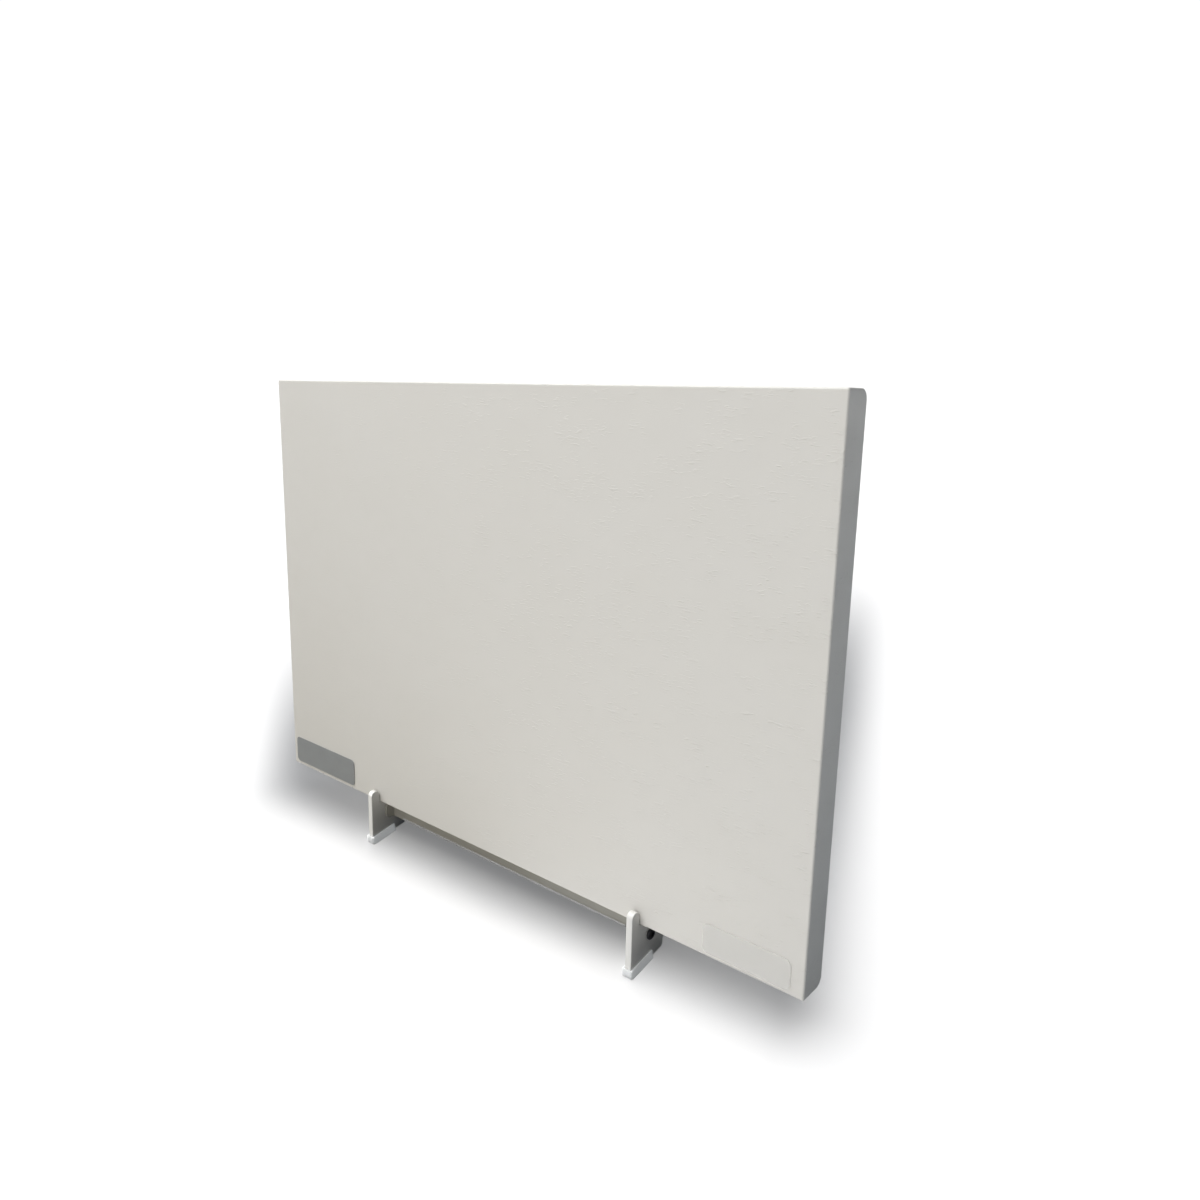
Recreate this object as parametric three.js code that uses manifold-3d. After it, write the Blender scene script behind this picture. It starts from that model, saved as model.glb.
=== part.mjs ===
// Infrared heating panel standing in a pair of feet.
// Millimetres, +Z up, front towards -Y, origin at the middle of the footprint on the floor.
import * as THREE from 'three';
import { mergeVertices } from 'three/addons/utils/BufferGeometryUtils.js';
import Module from 'manifold-3d';

const wasm = await Module();
wasm.setup();

// Driving dimensions
const panelWidth = 600;
const panelHeight = 400;
const panelDepth = 27;
const panelLean = THREE.MathUtils.degToRad(12);
const panelLift = 38.5;
const standSpan = 317;
const standShift = 2.5;
const footDepth = 160;
const fit = 0.3;
const overrun = 2;

// Casing: folded front pan, flat rear cover and its screws
const sheet = 1.2;
const frontBend = 1.6;
const rearBend = 7;
const sideBend = 1.6;
const flangeWidth = 18;
const coverSheet = 1;
const coverMargin = 7.5;
const coverCorner = 4;
const screwInset = 12;
const screwShank = 2.9;
const screwLength = 4.5;
const screwHead = 6.4;
const screwHeadHeight = 1.9;
const screwRecess = 0.9;
const screwRecessWidth = 0.9;
const screwRecessSpan = 3.6;
const screwRowShares = [-1, -1 / 3, 1 / 3, 1];

// Heating stack between the pan and the cover
const stackMargin = 2;
const insulatorSheet = 0.5;
const filmSheet = 0.4;
const busbarSheet = 0.4;
const busbarWidth = 12;
const busbarInset = 6;
const foilSheet = 0.3;
const leadDiameter = 2.6;
const leadPitch = 3.5;
const leadBend = 4;
const earthBend = 2.4;
const grooveDepth = 7;
const grooveWidth = 7;
const grooveHeight = 74;
const leadHole = 5;
const cutoutSeat = 16;
const cutoutPlace = 150;
const cutoutFlange = 1.2;
const cutoutTab = 6.3;
const cutoutTabSheet = 0.8;
const cutoutTabReach = 7;
const cutoutPocket = 2;

// Terminal box on the rear cover
const boxWidth = 84;
const boxHeight = 58;
const boxDepth = 19;
const boxWall = 2;
const boxCorner = 5;
const boxPlace = 0;
const boxBossDiameter = 7;
const boxBossInset = 7.5;
const lidSheet = 2.6;
const lidRebate = 1.2;
const lidEdge = 1;
const boxScrewShank = 2.5;
const boxScrewHead = 5;
const boxScrewHeadHeight = 2;
const lidScrewLength = 9;
const boxScrewHole = 3.1;
const baseScrewInset = 9;
const baseScrewEdge = 15;
const tipPocket = 5;
const baseScrewLength = 6;
const wiringHole = 12;
const wiringInset = 20;
const grommetBore = 8;
const grommetFlange = 2;
const grommetLip = 1.2;

// Terminal block, its poles and the earth screw
const blockWidth = 17;
const blockPole = 9;
const blockPoles = 3;
const blockDepth = 10.5;
const blockInset = 39.5;
const poleBore = 3.4;
const poleWell = 4;
const poleWellDepth = 3;
const poleInset = 4;
const leadInsertion = 4;
const earthInset = 21;
const earthEdge = 16;
const earthRing = 8;
const earthRingSheet = 0.8;
const earthRingTail = 8;

// Cable gland in the side wall of the terminal box
const glandThread = 12;
const glandBore = 6.6;
const glandHex = 15;
const glandHexHeight = 4.5;
const glandNutHeight = 10;
const glandNutRound = 3;
const glandLockNut = 3;
const glandSeal = 1.2;
const glandSealEdge = 1.5;
const glandStub = 6;

// Stand: foot plates, clear shoes, cross rail and its bolts
const footSheet = 6;
const fingerWidth = 9.3;
const fingerGap = 0.9;
const fingerRise = 11.3;
const uprightWidth = 15;
const uprightRise = 130;
const uprightBlend = 40;
const footSoleEnd = 23.4;
const heelSole = 34;
const heelRise = 12;
const heelRound = 4;
const toeRound = 4;
const archWall = 6.6;
const archRound = 3;
const archRise = 15;
const shoeWall = 1.2;
const shoeLength = 29;
const shoeHeight = 8.4;
const shoeRound = 4.5;
const railSheet = 1.5;
const railSetback = 13.5;
const railTop = 3.3;
const railDrop = 19.7;
const railFlange = 25;
const railBend = 2.2;
const railLip = 1;
const railLipSheet = 1.2;
const railLipCutback = 18;
const railPlate = 3;
const railPlateNose = 9;
const railPlateCorner = 4;
const boltShank = 5;
const boltHead = 9.5;
const boltHeadHeight = 2.7;
const boltCrown = 1.5;
const boltCrownShares = [[1, 0], [0.82, 0.62], [0.55, 1]];
const boltSocket = 3.6;
const boltSocketDepth = 1.7;
const boltGrip = 2.4;
const frontBolt = { back: 12.6, drop: 12.7 };
const rearBolt = { back: 32, drop: 12.7 };

// Labels on the lower corners of the front face
const labelSheet = 0.3;
const labelWidth = 100;
const labelHeight = 26.5;
const labelEdge = 6;
const labelRise = 4;
const labelCorner = 4;
const stickerWidth = 70;
const stickerHeight = 23;
const stickerEdge = 10.5;
const stickerRise = 3;
const stickerCorner = 5;

// Steps in the round stretches
const bendSteps = 4;
const cornerSteps = 3;
const holeSides = 12;
const roundSides = 20;
const hexSides = 6;
const leadSides = 8;
const bendStepsFine = 10;

const unitX = new THREE.Vector3(1, 0, 0);
const unitY = new THREE.Vector3(0, 1, 0);
const unitZ = new THREE.Vector3(0, 0, 1);
const quarter = Math.PI / 2;
const drawnAlongX = new THREE.Matrix4().makeBasis(unitY, unitZ, unitX);
const drawnAlongY = new THREE.Matrix4().makeBasis(unitX, unitZ, unitY.clone().negate());

// Rectangle with a radius at each corner: lower left, lower right, upper right, upper left
function roundRect(x0, y0, x1, y1, radii) {
  const [a, b, c, d] = Array.isArray(radii) ? radii : [radii, radii, radii, radii];
  const shape = new THREE.Shape();
  shape.moveTo(x0 + a, y0);
  shape.lineTo(x1 - b, y0);
  if (b) shape.absarc(x1 - b, y0 + b, b, -quarter, 0);
  shape.lineTo(x1, y1 - c);
  if (c) shape.absarc(x1 - c, y1 - c, c, 0, quarter);
  shape.lineTo(x0 + d, y1);
  if (d) shape.absarc(x0 + d, y1 - d, d, quarter, 2 * quarter);
  shape.lineTo(x0, y0 + a);
  if (a) shape.absarc(x0 + a, y0 + a, a, 2 * quarter, 3 * quarter);
  return shape;
}

// Prism of an outline in Y and Z, from x0 to x1
function prismX(shape, x0, x1, steps = bendSteps) {
  const settings = { depth: x1 - x0, bevelEnabled: false, curveSegments: steps };
  return new THREE.ExtrudeGeometry(shape, settings).applyMatrix4(drawnAlongX).translate(x0, 0, 0);
}

// Prism of an outline in X and Z, from y0 to y1
function prismY(shape, y0, y1, steps = bendSteps) {
  const settings = { depth: y1 - y0, bevelEnabled: false, curveSegments: steps };
  return new THREE.ExtrudeGeometry(shape, settings).applyMatrix4(drawnAlongY).translate(0, y1, 0);
}

// Prism of an outline in X and Y, from z0 to z1
function prismZ(shape, z0, z1, steps = bendSteps) {
  const settings = { depth: z1 - z0, bevelEnabled: false, curveSegments: steps };
  return new THREE.ExtrudeGeometry(shape, settings).translate(0, 0, z0);
}

// Block between two opposite corners
function block(x0, y0, z0, x1, y1, z1) {
  const box = new THREE.BoxGeometry(x1 - x0, y1 - y0, z1 - z0);
  return box.translate((x0 + x1) / 2, (y0 + y1) / 2, (z0 + z1) / 2);
}

// Round bars along Y and along X
function barY(diameter, x, y0, y1, z, sides = holeSides) {
  const bar = new THREE.CylinderGeometry(diameter / 2, diameter / 2, y1 - y0, sides);
  return bar.translate(x, (y0 + y1) / 2, z);
}

function barX(diameter, x0, x1, y, z, sides = holeSides) {
  const bar = new THREE.CylinderGeometry(diameter / 2, diameter / 2, x1 - x0, sides);
  return bar.rotateZ(quarter).translate((x0 + x1) / 2, y, z);
}

// Turned part from a profile of [radius, height] pairs, standing along Y
function turned(profile, sides = roundSides) {
  return new THREE.LatheGeometry(profile.map(([r, h]) => new THREE.Vector2(r, h)), sides);
}

// Closed geometry as a solid that can be joined and cut
function solid(geometry) {
  const bare = geometry.clone();
  bare.deleteAttribute('normal');
  bare.deleteAttribute('uv');
  const merged = mergeVertices(bare);
  const corners = merged.index.array;
  const kept = [];
  for (let i = 0; i < corners.length; i += 3) {
    const [a, b, c] = corners.slice(i, i + 3);
    if (a !== b && b !== c && c !== a) kept.push(a, b, c);
  }
  return new wasm.Manifold(new wasm.Mesh({
    numProp: 3,
    vertProperties: merged.attributes.position.array,
    triVerts: Uint32Array.from(kept),
  }));
}

// Solid back to a geometry
function shaped(body) {
  const mesh = body.getMesh();
  const geometry = new THREE.BufferGeometry();
  geometry.setAttribute('position', new THREE.BufferAttribute(mesh.vertProperties, 3));
  geometry.setIndex(new THREE.BufferAttribute(mesh.triVerts, 1));
  geometry.computeVertexNormals();
  return geometry;
}

// One solid with a list of geometries cut out of it, or joined to it
function cut(body, cutters) {
  return cutters.reduce((rest, cutter) => rest.subtract(solid(cutter)), body);
}

function joined(geometries) {
  return geometries.slice(1).reduce((sum, next) => sum.add(solid(next)), solid(geometries[0]));
}

function finish(color, roughness, metalness = 0) {
  return new THREE.MeshStandardMaterial({ color, roughness, metalness });
}

function piece(parent, name, geometry, material) {
  const mesh = new THREE.Mesh(geometry, material);
  mesh.name = name;
  parent.add(mesh);
  return mesh;
}

function group(parent) {
  const node = new THREE.Group();
  parent.add(node);
  return node;
}

// Places along the depth of the panel, from its front face to the rear
const caseDepth = panelDepth - coverSheet - fit;
const coverFront = caseDepth + fit;
const layers = {};
let nextLayer = sheet + fit;
function layer(name, thickness) {
  layers[name] = [nextLayer, nextLayer + thickness];
  nextLayer += thickness + fit;
}
layer('frontInsulation', insulatorSheet);
layer('film', filmSheet);
layer('busbar', busbarSheet);
layer('rearInsulation', insulatorSheet);
layer('foil', foilSheet);
layer('board', coverFront - fit - nextLayer);
const grooveFloor = layers.board[1] - grooveDepth;
const stackHalfWidth = panelWidth / 2 - flangeWidth - stackMargin;
const stackLow = flangeWidth + stackMargin;
const stackHigh = panelHeight - stackLow;
const busbarCentre = stackHalfWidth - busbarInset - busbarWidth / 2;
const grooveEnd = busbarCentre;

// Outer walls of the terminal box, and its wiring hole
const boxLeft = boxPlace - boxWidth / 2;
const boxRight = boxPlace + boxWidth / 2;
const boxLow = grooveHeight - boxHeight / 2;
const boxHigh = grooveHeight + boxHeight / 2;
const wiringX = boxLeft + wiringInset;

// Screws through the floor of the terminal box: two that hold it and the earth screw
const earthX = boxLeft + earthInset;
const earthZ = boxLow + earthEdge;
const baseScrewPlaces = [
  [boxLeft + baseScrewInset, boxHigh - baseScrewEdge],
  [boxRight - baseScrewInset, boxLow + baseScrewEdge],
  [earthX, earthZ]];

// Casing screws: two rows of four and one at the middle of each side
function screwPlaces() {
  const reach = panelWidth / 2 - screwInset;
  const rows = [screwInset, panelHeight - screwInset];
  const places = rows.flatMap((z) => screwRowShares.map((share) => [share * reach, z]));
  return [...places, [-reach, panelHeight / 2], [reach, panelHeight / 2]];
}

// Envelope of the folded pan, drawn in by an inset
function caseEnvelope(inset) {
  const x = panelWidth / 2 - inset;
  const soft = (radius) => Math.max(radius - inset, 0);
  const side = roundRect(inset, inset, caseDepth - inset, panelHeight - inset,
    [soft(frontBend), soft(rearBend), soft(rearBend), soft(frontBend)]);
  const plan = roundRect(-x, inset, x, caseDepth - inset,
    [soft(frontBend), soft(frontBend), soft(sideBend), soft(sideBend)]);
  const face = roundRect(-x, inset, x, panelHeight - inset, soft(frontBend));
  return solid(prismX(side, -x, x))
    .intersect(solid(prismZ(plan, inset, panelHeight - inset)))
    .intersect(solid(prismY(face, inset, caseDepth - inset)));
}

// Front pan: face, four walls and the flanges that carry the rear cover
function frontPan() {
  const x = panelWidth / 2 - flangeWidth;
  const window = block(-x, caseDepth / 2, flangeWidth, x, caseDepth + overrun, panelHeight - flangeWidth);
  const holes = screwPlaces().map(([hx, hz]) =>
    barY(screwShank + 2 * fit, hx, caseDepth - sheet - overrun / 2, caseDepth + overrun, hz));
  return shaped(cut(caseEnvelope(0).subtract(caseEnvelope(sheet)), [window, ...holes]));
}

// Rear cover: flat sheet with its screw holes, the wiring hole and the terminal box holes
function rearCover() {
  const x = panelWidth / 2 - coverMargin;
  const outline = roundRect(-x, coverMargin, x, panelHeight - coverMargin, coverCorner);
  const through = [coverFront - overrun, panelDepth + overrun];
  const screwHoles = screwPlaces().map(([hx, hz]) => barY(screwShank + 2 * fit, hx, ...through, hz));
  const baseHoles = baseScrewPlaces.map(([hx, hz]) => barY(boxScrewShank + 2 * fit, hx, ...through, hz));
  const wiring = barY(wiringHole, wiringX, ...through, grooveHeight, roundSides);
  return shaped(cut(solid(prismY(outline, coverFront, panelDepth)), [...screwHoles, ...baseHoles, wiring]));
}

// Pan head screw with a cross recess, its head towards +Y and its seat at the origin
function panScrew(shank, length, head, headHeight) {
  const crown = headHeight / 2;
  const body = solid(turned([[0, -length], [shank / 2, -length], [shank / 2, 0], [head / 2, 0],
    [head / 2, crown], [head / 2 - crown, headHeight], [0, headHeight]], holeSides));
  const span = screwRecessSpan / 2 * head / screwHead;
  const width = screwRecessWidth / 2;
  const floor = headHeight - screwRecess;
  const top = headHeight + overrun;
  return shaped(cut(body, [
    block(-span, floor, -width, span, top, width),
    block(-width, floor, -span, width, top, span)]));
}

// Flat sheet of the heating stack
function stackSheet([front, back]) {
  const outline = roundRect(-stackHalfWidth, stackLow, stackHalfWidth, stackHigh, coverCorner);
  return solid(prismY(outline, front, back, cornerSteps));
}

// Holes for the leads that go forward to the busbars
function leadHoles([front, back]) {
  return [-1, 1].map((side) =>
    barY(leadHole, side * grooveEnd, front - overrun, back + overrun, grooveHeight));
}

// Insulation board with its wiring groove and the pocket of the thermal cutout
function insulationBoard() {
  const [front, back] = layers.board;
  const half = grooveWidth / 2;
  const end = grooveEnd + leadHole / 2;
  const pocketX = cutoutSeat / 2 + cutoutTabReach + cutoutPocket;
  const pocketZ = cutoutSeat / 2 + cutoutPocket;
  const well = wiringHole;
  return shaped(cut(stackSheet(layers.board), [
    block(-end, grooveFloor, grooveHeight - half, end, back + overrun, grooveHeight + half),
    block(cutoutPlace - pocketX, front - overrun, grooveHeight - pocketZ,
      cutoutPlace + pocketX, back + overrun, grooveHeight + pocketZ),
    block(wiringX - well, grooveFloor, grooveHeight - well,
      wiringX + well, back + overrun, grooveHeight + well),
    ...baseScrewPlaces.map(([x, z]) => barY(tipPocket, x, grooveFloor, back + overrun, z)),
    ...leadHoles([front, back])]));
}

// Thermal cutout: disc case, mounting flange and two flat tabs level with the groove floor
function thermalCutout() {
  const front = layers.foil[1] + fit;
  const height = grooveFloor - front;
  const neck = cutoutSeat / 2 - cutoutFlange;
  const canTop = grooveFloor - cutoutTabSheet / 2;
  const can = turned([[0, front], [cutoutSeat / 2, front], [cutoutSeat / 2, front + cutoutFlange],
    [neck, front + cutoutFlange], [neck, canTop], [0, canTop]]);
  const reach = cutoutSeat / 2 + cutoutTabReach;
  const tabs = [-1, 1].map((side) => {
    const inner = side * neck / 2;
    const outer = side * reach;
    return block(Math.min(inner, outer), front + height - cutoutTabSheet, -cutoutTab / 2,
      Math.max(inner, outer), front + height, cutoutTab / 2);
  });
  const rest = tabs.map((tab) => tab.translate(cutoutPlace, 0, grooveHeight));
  return shaped(joined([can.translate(cutoutPlace, 0, grooveHeight), ...rest]));
}

// Route of straight runs with rounded corners, with one ring of the lead at each of its points
class Route extends THREE.Curve {
  constructor(corners, bend) {
    super();
    const inner = corners.slice(1, -1).flatMap((corner, i) => {
      const start = corners[i].clone().sub(corner).setLength(bend).add(corner);
      const end = corners[i + 2].clone().sub(corner).setLength(bend).add(corner);
      return new THREE.QuadraticBezierCurve3(start, corner, end).getPoints(bendSteps);
    });
    this.points = [corners[0], ...inner, corners[corners.length - 1]];
  }

  getPoint(share) {
    const place = share * (this.points.length - 1);
    const index = Math.min(Math.floor(place), this.points.length - 2);
    return this.points[index].clone().lerp(this.points[index + 1], place - index);
  }

  getPointAt(share) {
    return this.getPoint(share);
  }

  getTangentAt(share) {
    const step = 1 / (this.points.length - 1);
    return this.getPoint(Math.min(share + step, 1)).sub(this.getPoint(Math.max(share - step, 0))).normalize();
  }
}

// Round lead through the corners of its route
function lead(corners, bend) {
  const route = new Route(corners.map((p) => new THREE.Vector3(...p)), bend);
  const section = new THREE.Shape();
  section.absarc(0, 0, leadDiameter / 2, 0, 4 * quarter);
  return new THREE.ExtrudeGeometry(section, {
    steps: route.points.length - 1, bevelEnabled: false, extrudePath: route, curveSegments: leadSides / 2,
  });
}

// Places of the terminal box and of what it carries, in the depth of the panel
const boxFront = panelDepth + fit;
const boxFloor = boxFront + boxWall;
const boxBack = boxFront + boxDepth;
const blockFront = boxFloor + fit;
const blockLeft = boxLeft + blockInset;
const blockRight = blockLeft + blockWidth;
const poleLevel = blockFront + poleInset;
const poleHeights = [1, 0, -1].map((step) => grooveHeight + step * blockPole);
const glandLevel = (boxFront + boxBack) / 2;
const lidScrewSeat = boxBack + fit + lidSheet + lidEdge / 2 - boxScrewHeadHeight + fit;
const bossPlaces = [[-1, -1], [1, -1], [-1, 1], [1, 1]].map(([sx, sz]) => [
  boxPlace + sx * (boxWidth / 2 - boxBossInset), grooveHeight + sz * (boxHeight / 2 - boxBossInset)]);

// Terminal box: open tray with four screw bosses, base holes, wiring hole and gland hole
function terminalBox() {
  const outer = prismY(roundRect(boxLeft, boxLow, boxRight, boxHigh, boxCorner), boxFront, boxBack);
  const inner = prismY(roundRect(boxLeft + boxWall, boxLow + boxWall, boxRight - boxWall, boxHigh - boxWall,
    boxCorner - boxWall), boxFloor, boxBack + overrun);
  const tray = solid(outer).subtract(solid(inner));
  const rebate = boxBack - lidRebate - fit;
  const bosses = bossPlaces.map(([x, z]) => barY(boxBossDiameter, x, boxFloor - boxWall / 2, rebate, z));
  const pilots = bossPlaces.map(([x, z]) =>
    barY(boxScrewShank + 2 * fit, x, lidScrewSeat - lidScrewLength - boxScrewShank, boxBack + overrun, z));
  const through = [boxFront - overrun, boxFloor + overrun];
  const base = baseScrewPlaces.map(([x, z]) => barY(boxScrewShank + 2 * fit, x, ...through, z));
  const wiring = barY(wiringHole, wiringX, ...through, grooveHeight, roundSides);
  const gland = barX(glandThread + 2 * fit, boxRight - boxWall - overrun, boxRight + overrun, glandLevel,
    grooveHeight, roundSides);
  const body = bosses.reduce((sum, boss) => sum.add(solid(boss)), tray);
  return shaped(cut(body, [...pilots, ...base, wiring, gland]));
}

// Lid: plate with a rebated rim that drops into the tray
function terminalBoxLid() {
  const back = boxBack + fit;
  const rim = boxWall + fit;
  const plate = prismY(roundRect(boxLeft, boxLow, boxRight, boxHigh, boxCorner), back, back + lidSheet);
  const step = prismY(roundRect(boxLeft + lidEdge, boxLow + lidEdge, boxRight - lidEdge, boxHigh - lidEdge,
    boxCorner - lidEdge), back + lidSheet / 2, back + lidSheet + lidEdge / 2);
  const plug = prismY(roundRect(boxLeft + rim, boxLow + rim, boxRight - rim, boxHigh - rim,
    boxCorner - rim), back - lidRebate, back + lidSheet / 2);
  const holes = bossPlaces.flatMap(([x, z]) => [
    barY(boxScrewHole, x, back - lidRebate - overrun, back + lidSheet + overrun, z),
    barY(boxScrewHead + 2 * fit, x, lidScrewSeat - fit, back + lidSheet + overrun, z)]);
  return shaped(cut(joined([plate, step, plug]), holes));
}

// Terminal block: a bore through each pole and two screw wells above it
function terminalBlock() {
  const half = blockPole / 2;
  const back = blockFront + blockDepth;
  const low = poleHeights[blockPoles - 1] - half;
  const body = solid(block(blockLeft, blockFront, low, blockRight, back, low + blockPole * blockPoles));
  const bores = poleHeights.map((z) =>
    barX(poleBore, blockLeft - overrun, blockRight + overrun, poleLevel, z));
  const wellPlaces = [blockLeft + blockWidth / 4, blockRight - blockWidth / 4];
  const wells = poleHeights.flatMap((z) => wellPlaces.map((x) =>
    barY(poleWell, x, back - poleWellDepth, back + overrun, z)));
  const waists = poleHeights.slice(1).map((z) => [-1, 1].map((side) => {
    const edge = side < 0 ? blockLeft : blockRight;
    return barY(boxWall, edge, blockFront - overrun, back + overrun, z + half);
  })).flat();
  return shaped(cut(body, [...bores, ...wells, ...waists]));
}

// Hexagonal or round ring along X
function ringX(outer, bore, x0, x1, sides) {
  const ring = solid(barX(outer, x0, x1, 0, 0, sides));
  return cut(ring, [barX(bore, x0 - overrun, x1 + overrun, 0, 0, roundSides)]);
}

// Cable gland: threaded body through the box wall with its hexagon outside
const acrossCorners = 1 / Math.cos(Math.PI / 6);
const glandSeat = boxRight + fit + glandSeal + fit;
const glandNutStart = glandSeat + glandHexHeight + fit;
function glandBody() {
  const tip = boxRight - boxWall - fit - glandLockNut - fit;
  const thread = ringX(glandThread, glandBore, tip, glandSeat + glandHexHeight + glandStub, roundSides);
  const hex = ringX(glandHex * acrossCorners, glandBore, glandSeat, glandSeat + glandHexHeight,
    hexSides);
  return shaped(thread.add(hex));
}

// Dome nut of the gland: hexagon with a rounded nose
function glandNut() {
  const end = glandNutStart + glandNutHeight;
  const outer = glandHex * acrossCorners / 2;
  const nose = turned([[0, glandNutStart], [outer, glandNutStart], [outer, end - glandNutRound],
    [outer - glandNutRound / 4, end - glandNutRound / 3], [outer - glandNutRound, end], [0, end]]);
  const hex = solid(barX(2 * outer, glandNutStart, end, 0, 0, hexSides));
  const dome = solid(nose.rotateZ(-quarter));
  const bore = barX(glandBore, glandNutStart - overrun, end + overrun, 0, 0, roundSides);
  const socketEnd = glandNutStart + glandStub;
  const socket = barX(glandThread + 2 * fit, glandNutStart - overrun, socketEnd, 0, 0, roundSides);
  return shaped(cut(hex.intersect(dome), [bore, socket]));
}

// Outline of a point of the panel's own frame, in the stand's Y and Z
function leaned(y, z) {
  const cos = Math.cos(panelLean);
  const sin = Math.sin(panelLean);
  return new THREE.Vector2(y * cos + z * sin, panelLift - y * sin + z * cos);
}

// Where a line parallel to the panel, at y in front of or behind its face, meets height z
function leaningLine(y, z) {
  return (y + (z - panelLift) * Math.sin(panelLean)) / Math.cos(panelLean);
}

const soleLevel = shoeWall + fit;
const fingerFront = -fingerGap - fingerWidth;
const toe = leaningLine(fingerFront, soleLevel);
const shoeToe = leaningLine(fingerFront - fit - shoeWall, 0);
const heel = shoeToe + footDepth - shoeWall - fit;

// Foot plate: finger, notch for the panel, upright, brace to the heel and a low arch
function footOutline() {
  const shape = new THREE.Shape();
  const slope = Math.tan(panelLean);
  const uprightFront = panelDepth + fit;
  const fingerCentre = leaned(fingerFront + fingerWidth / 2, fingerRise - fingerWidth / 2);
  const uprightCentre = leaned(uprightFront + uprightWidth / 2, uprightRise - uprightWidth / 2);
  const archFront = footSoleEnd + archWall * slope;
  const archBack = heel - heelSole - archWall * slope;
  const ceiling = soleLevel + archWall;
  const corner = leaned(uprightFront + uprightWidth, 0);
  const blendTop = leaned(uprightFront + uprightWidth, uprightRise - uprightBlend);
  shape.moveTo(toe + toeRound, soleLevel);
  shape.lineTo(footSoleEnd - archRound, soleLevel);
  shape.quadraticCurveTo(footSoleEnd, soleLevel, footSoleEnd + archRound * slope, soleLevel + archRound);
  shape.lineTo(archFront, ceiling);
  shape.quadraticCurveTo((archFront + archBack) / 2, ceiling + 2 * (archRise - archWall), archBack, ceiling);
  const sole = heel - heelSole;
  shape.lineTo(sole - archRound * slope, soleLevel + archRound);
  shape.quadraticCurveTo(sole, soleLevel, sole + archRound, soleLevel);
  shape.lineTo(heel - heelRound, soleLevel);
  shape.absarc(heel - heelRound, soleLevel + heelRound, heelRound, -quarter, 0);
  shape.lineTo(heel, heelRise);
  shape.quadraticCurveTo(corner.x, corner.y, blendTop.x, blendTop.y);
  shape.absarc(uprightCentre.x, uprightCentre.y, uprightWidth / 2, -panelLean, Math.PI - panelLean);
  const seat = [leaned(uprightFront, -fit), leaned(-fingerGap, -fit)];
  seat.forEach((p) => shape.lineTo(p.x, p.y));
  shape.absarc(fingerCentre.x, fingerCentre.y, fingerWidth / 2, -panelLean, Math.PI - panelLean);
  const frontEnd = soleLevel + toeRound;
  shape.lineTo(leaningLine(fingerFront, frontEnd), frontEnd);
  shape.quadraticCurveTo(toe, soleLevel, toe + toeRound, soleLevel);
  return shape;
}

function footPlate() {
  const plate = prismX(footOutline(), -footSheet / 2, footSheet / 2, bendStepsFine);
  const holes = [frontBolt, rearBolt].map((bolt) => {
    const centre = leaned(bolt.back, -bolt.drop);
    return barX(boltShank + 2 * fit, -footSheet, footSheet, centre.x, centre.y);
  });
  return shaped(cut(solid(plate), holes));
}

// Shoe outline: rounded tip at one end, its edge sloping with the plate, flat sole on the floor
function shoeOutline(tip, tail, slope, floor, height, round) {
  const away = Math.sign(tail - tip);
  const shape = new THREE.Shape();
  shape.moveTo(tail, floor);
  shape.lineTo(tip + away * round, floor);
  shape.quadraticCurveTo(tip, floor, tip + slope * round, floor + round);
  shape.lineTo(tip + slope * (height - floor), height);
  shape.lineTo(tail, height);
  return shape;
}

// Clear shoe: a channel that wraps the end of a foot plate
function shoe(tip, slope, away) {
  const half = footSheet / 2 + fit;
  const outer = prismX(shoeOutline(tip, tip + away * shoeLength, slope, 0, shoeHeight, shoeRound),
    -half - shoeWall, half + shoeWall, bendStepsFine);
  const innerTip = tip + (away + slope) * shoeWall;
  const innerTail = tip + away * (shoeLength + overrun);
  const inner = prismX(shoeOutline(innerTip, innerTail, slope, shoeWall, shoeHeight + overrun,
    shoeRound - shoeWall), -half, half, bendStepsFine);
  return shaped(solid(outer).subtract(solid(inner)));
}

// Cross rail: folded angle with a hemmed lip, a drilled plate welded on each end
const railReach = standSpan / 2 - footSheet / 2 - fit;
function crossRail() {
  const low = -railDrop;
  const top = -railTop;
  const back = railSetback + railFlange;
  const angle = roundRect(railSetback, low, back, top, [0, 0, 0, railBend]);
  const hollow = roundRect(railSetback + railSheet, low - overrun, back + overrun, top - railSheet,
    [0, 0, 0, railBend - railSheet]);
  const web = solid(prismX(angle, -railReach, railReach))
    .subtract(solid(prismX(hollow, -railReach - overrun, railReach + overrun)));
  const lipEnd = railReach - railLipCutback;
  const lip = roundRect(railSetback - railLip, low, railSetback + railSheet / 2, low + railLipSheet,
    [railLipSheet / 2, 0, 0, railLipSheet / 2]);
  const nose = railSetback - railPlateNose;
  const ends = [-1, 1].map((side) => {
    const outer = side * railReach;
    const inner = side * (railReach - railPlate);
    const outline = roundRect(nose, low, back, top, railPlateCorner);
    return prismX(outline, Math.min(outer, inner), Math.max(outer, inner), cornerSteps);
  });
  const holes = [-1, 1].flatMap((side) => [frontBolt, rearBolt].map((bolt) => {
    const outer = side * (railReach + overrun);
    const inner = side * (railReach - railPlate - fit);
    return barX(boltShank + 2 * fit, Math.min(outer, inner), Math.max(outer, inner), bolt.back, -bolt.drop);
  }));
  const bare = web.add(solid(prismX(lip, -lipEnd, lipEnd, cornerSteps))).add(joined(ends));
  return shaped(cut(bare, holes));
}

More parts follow.
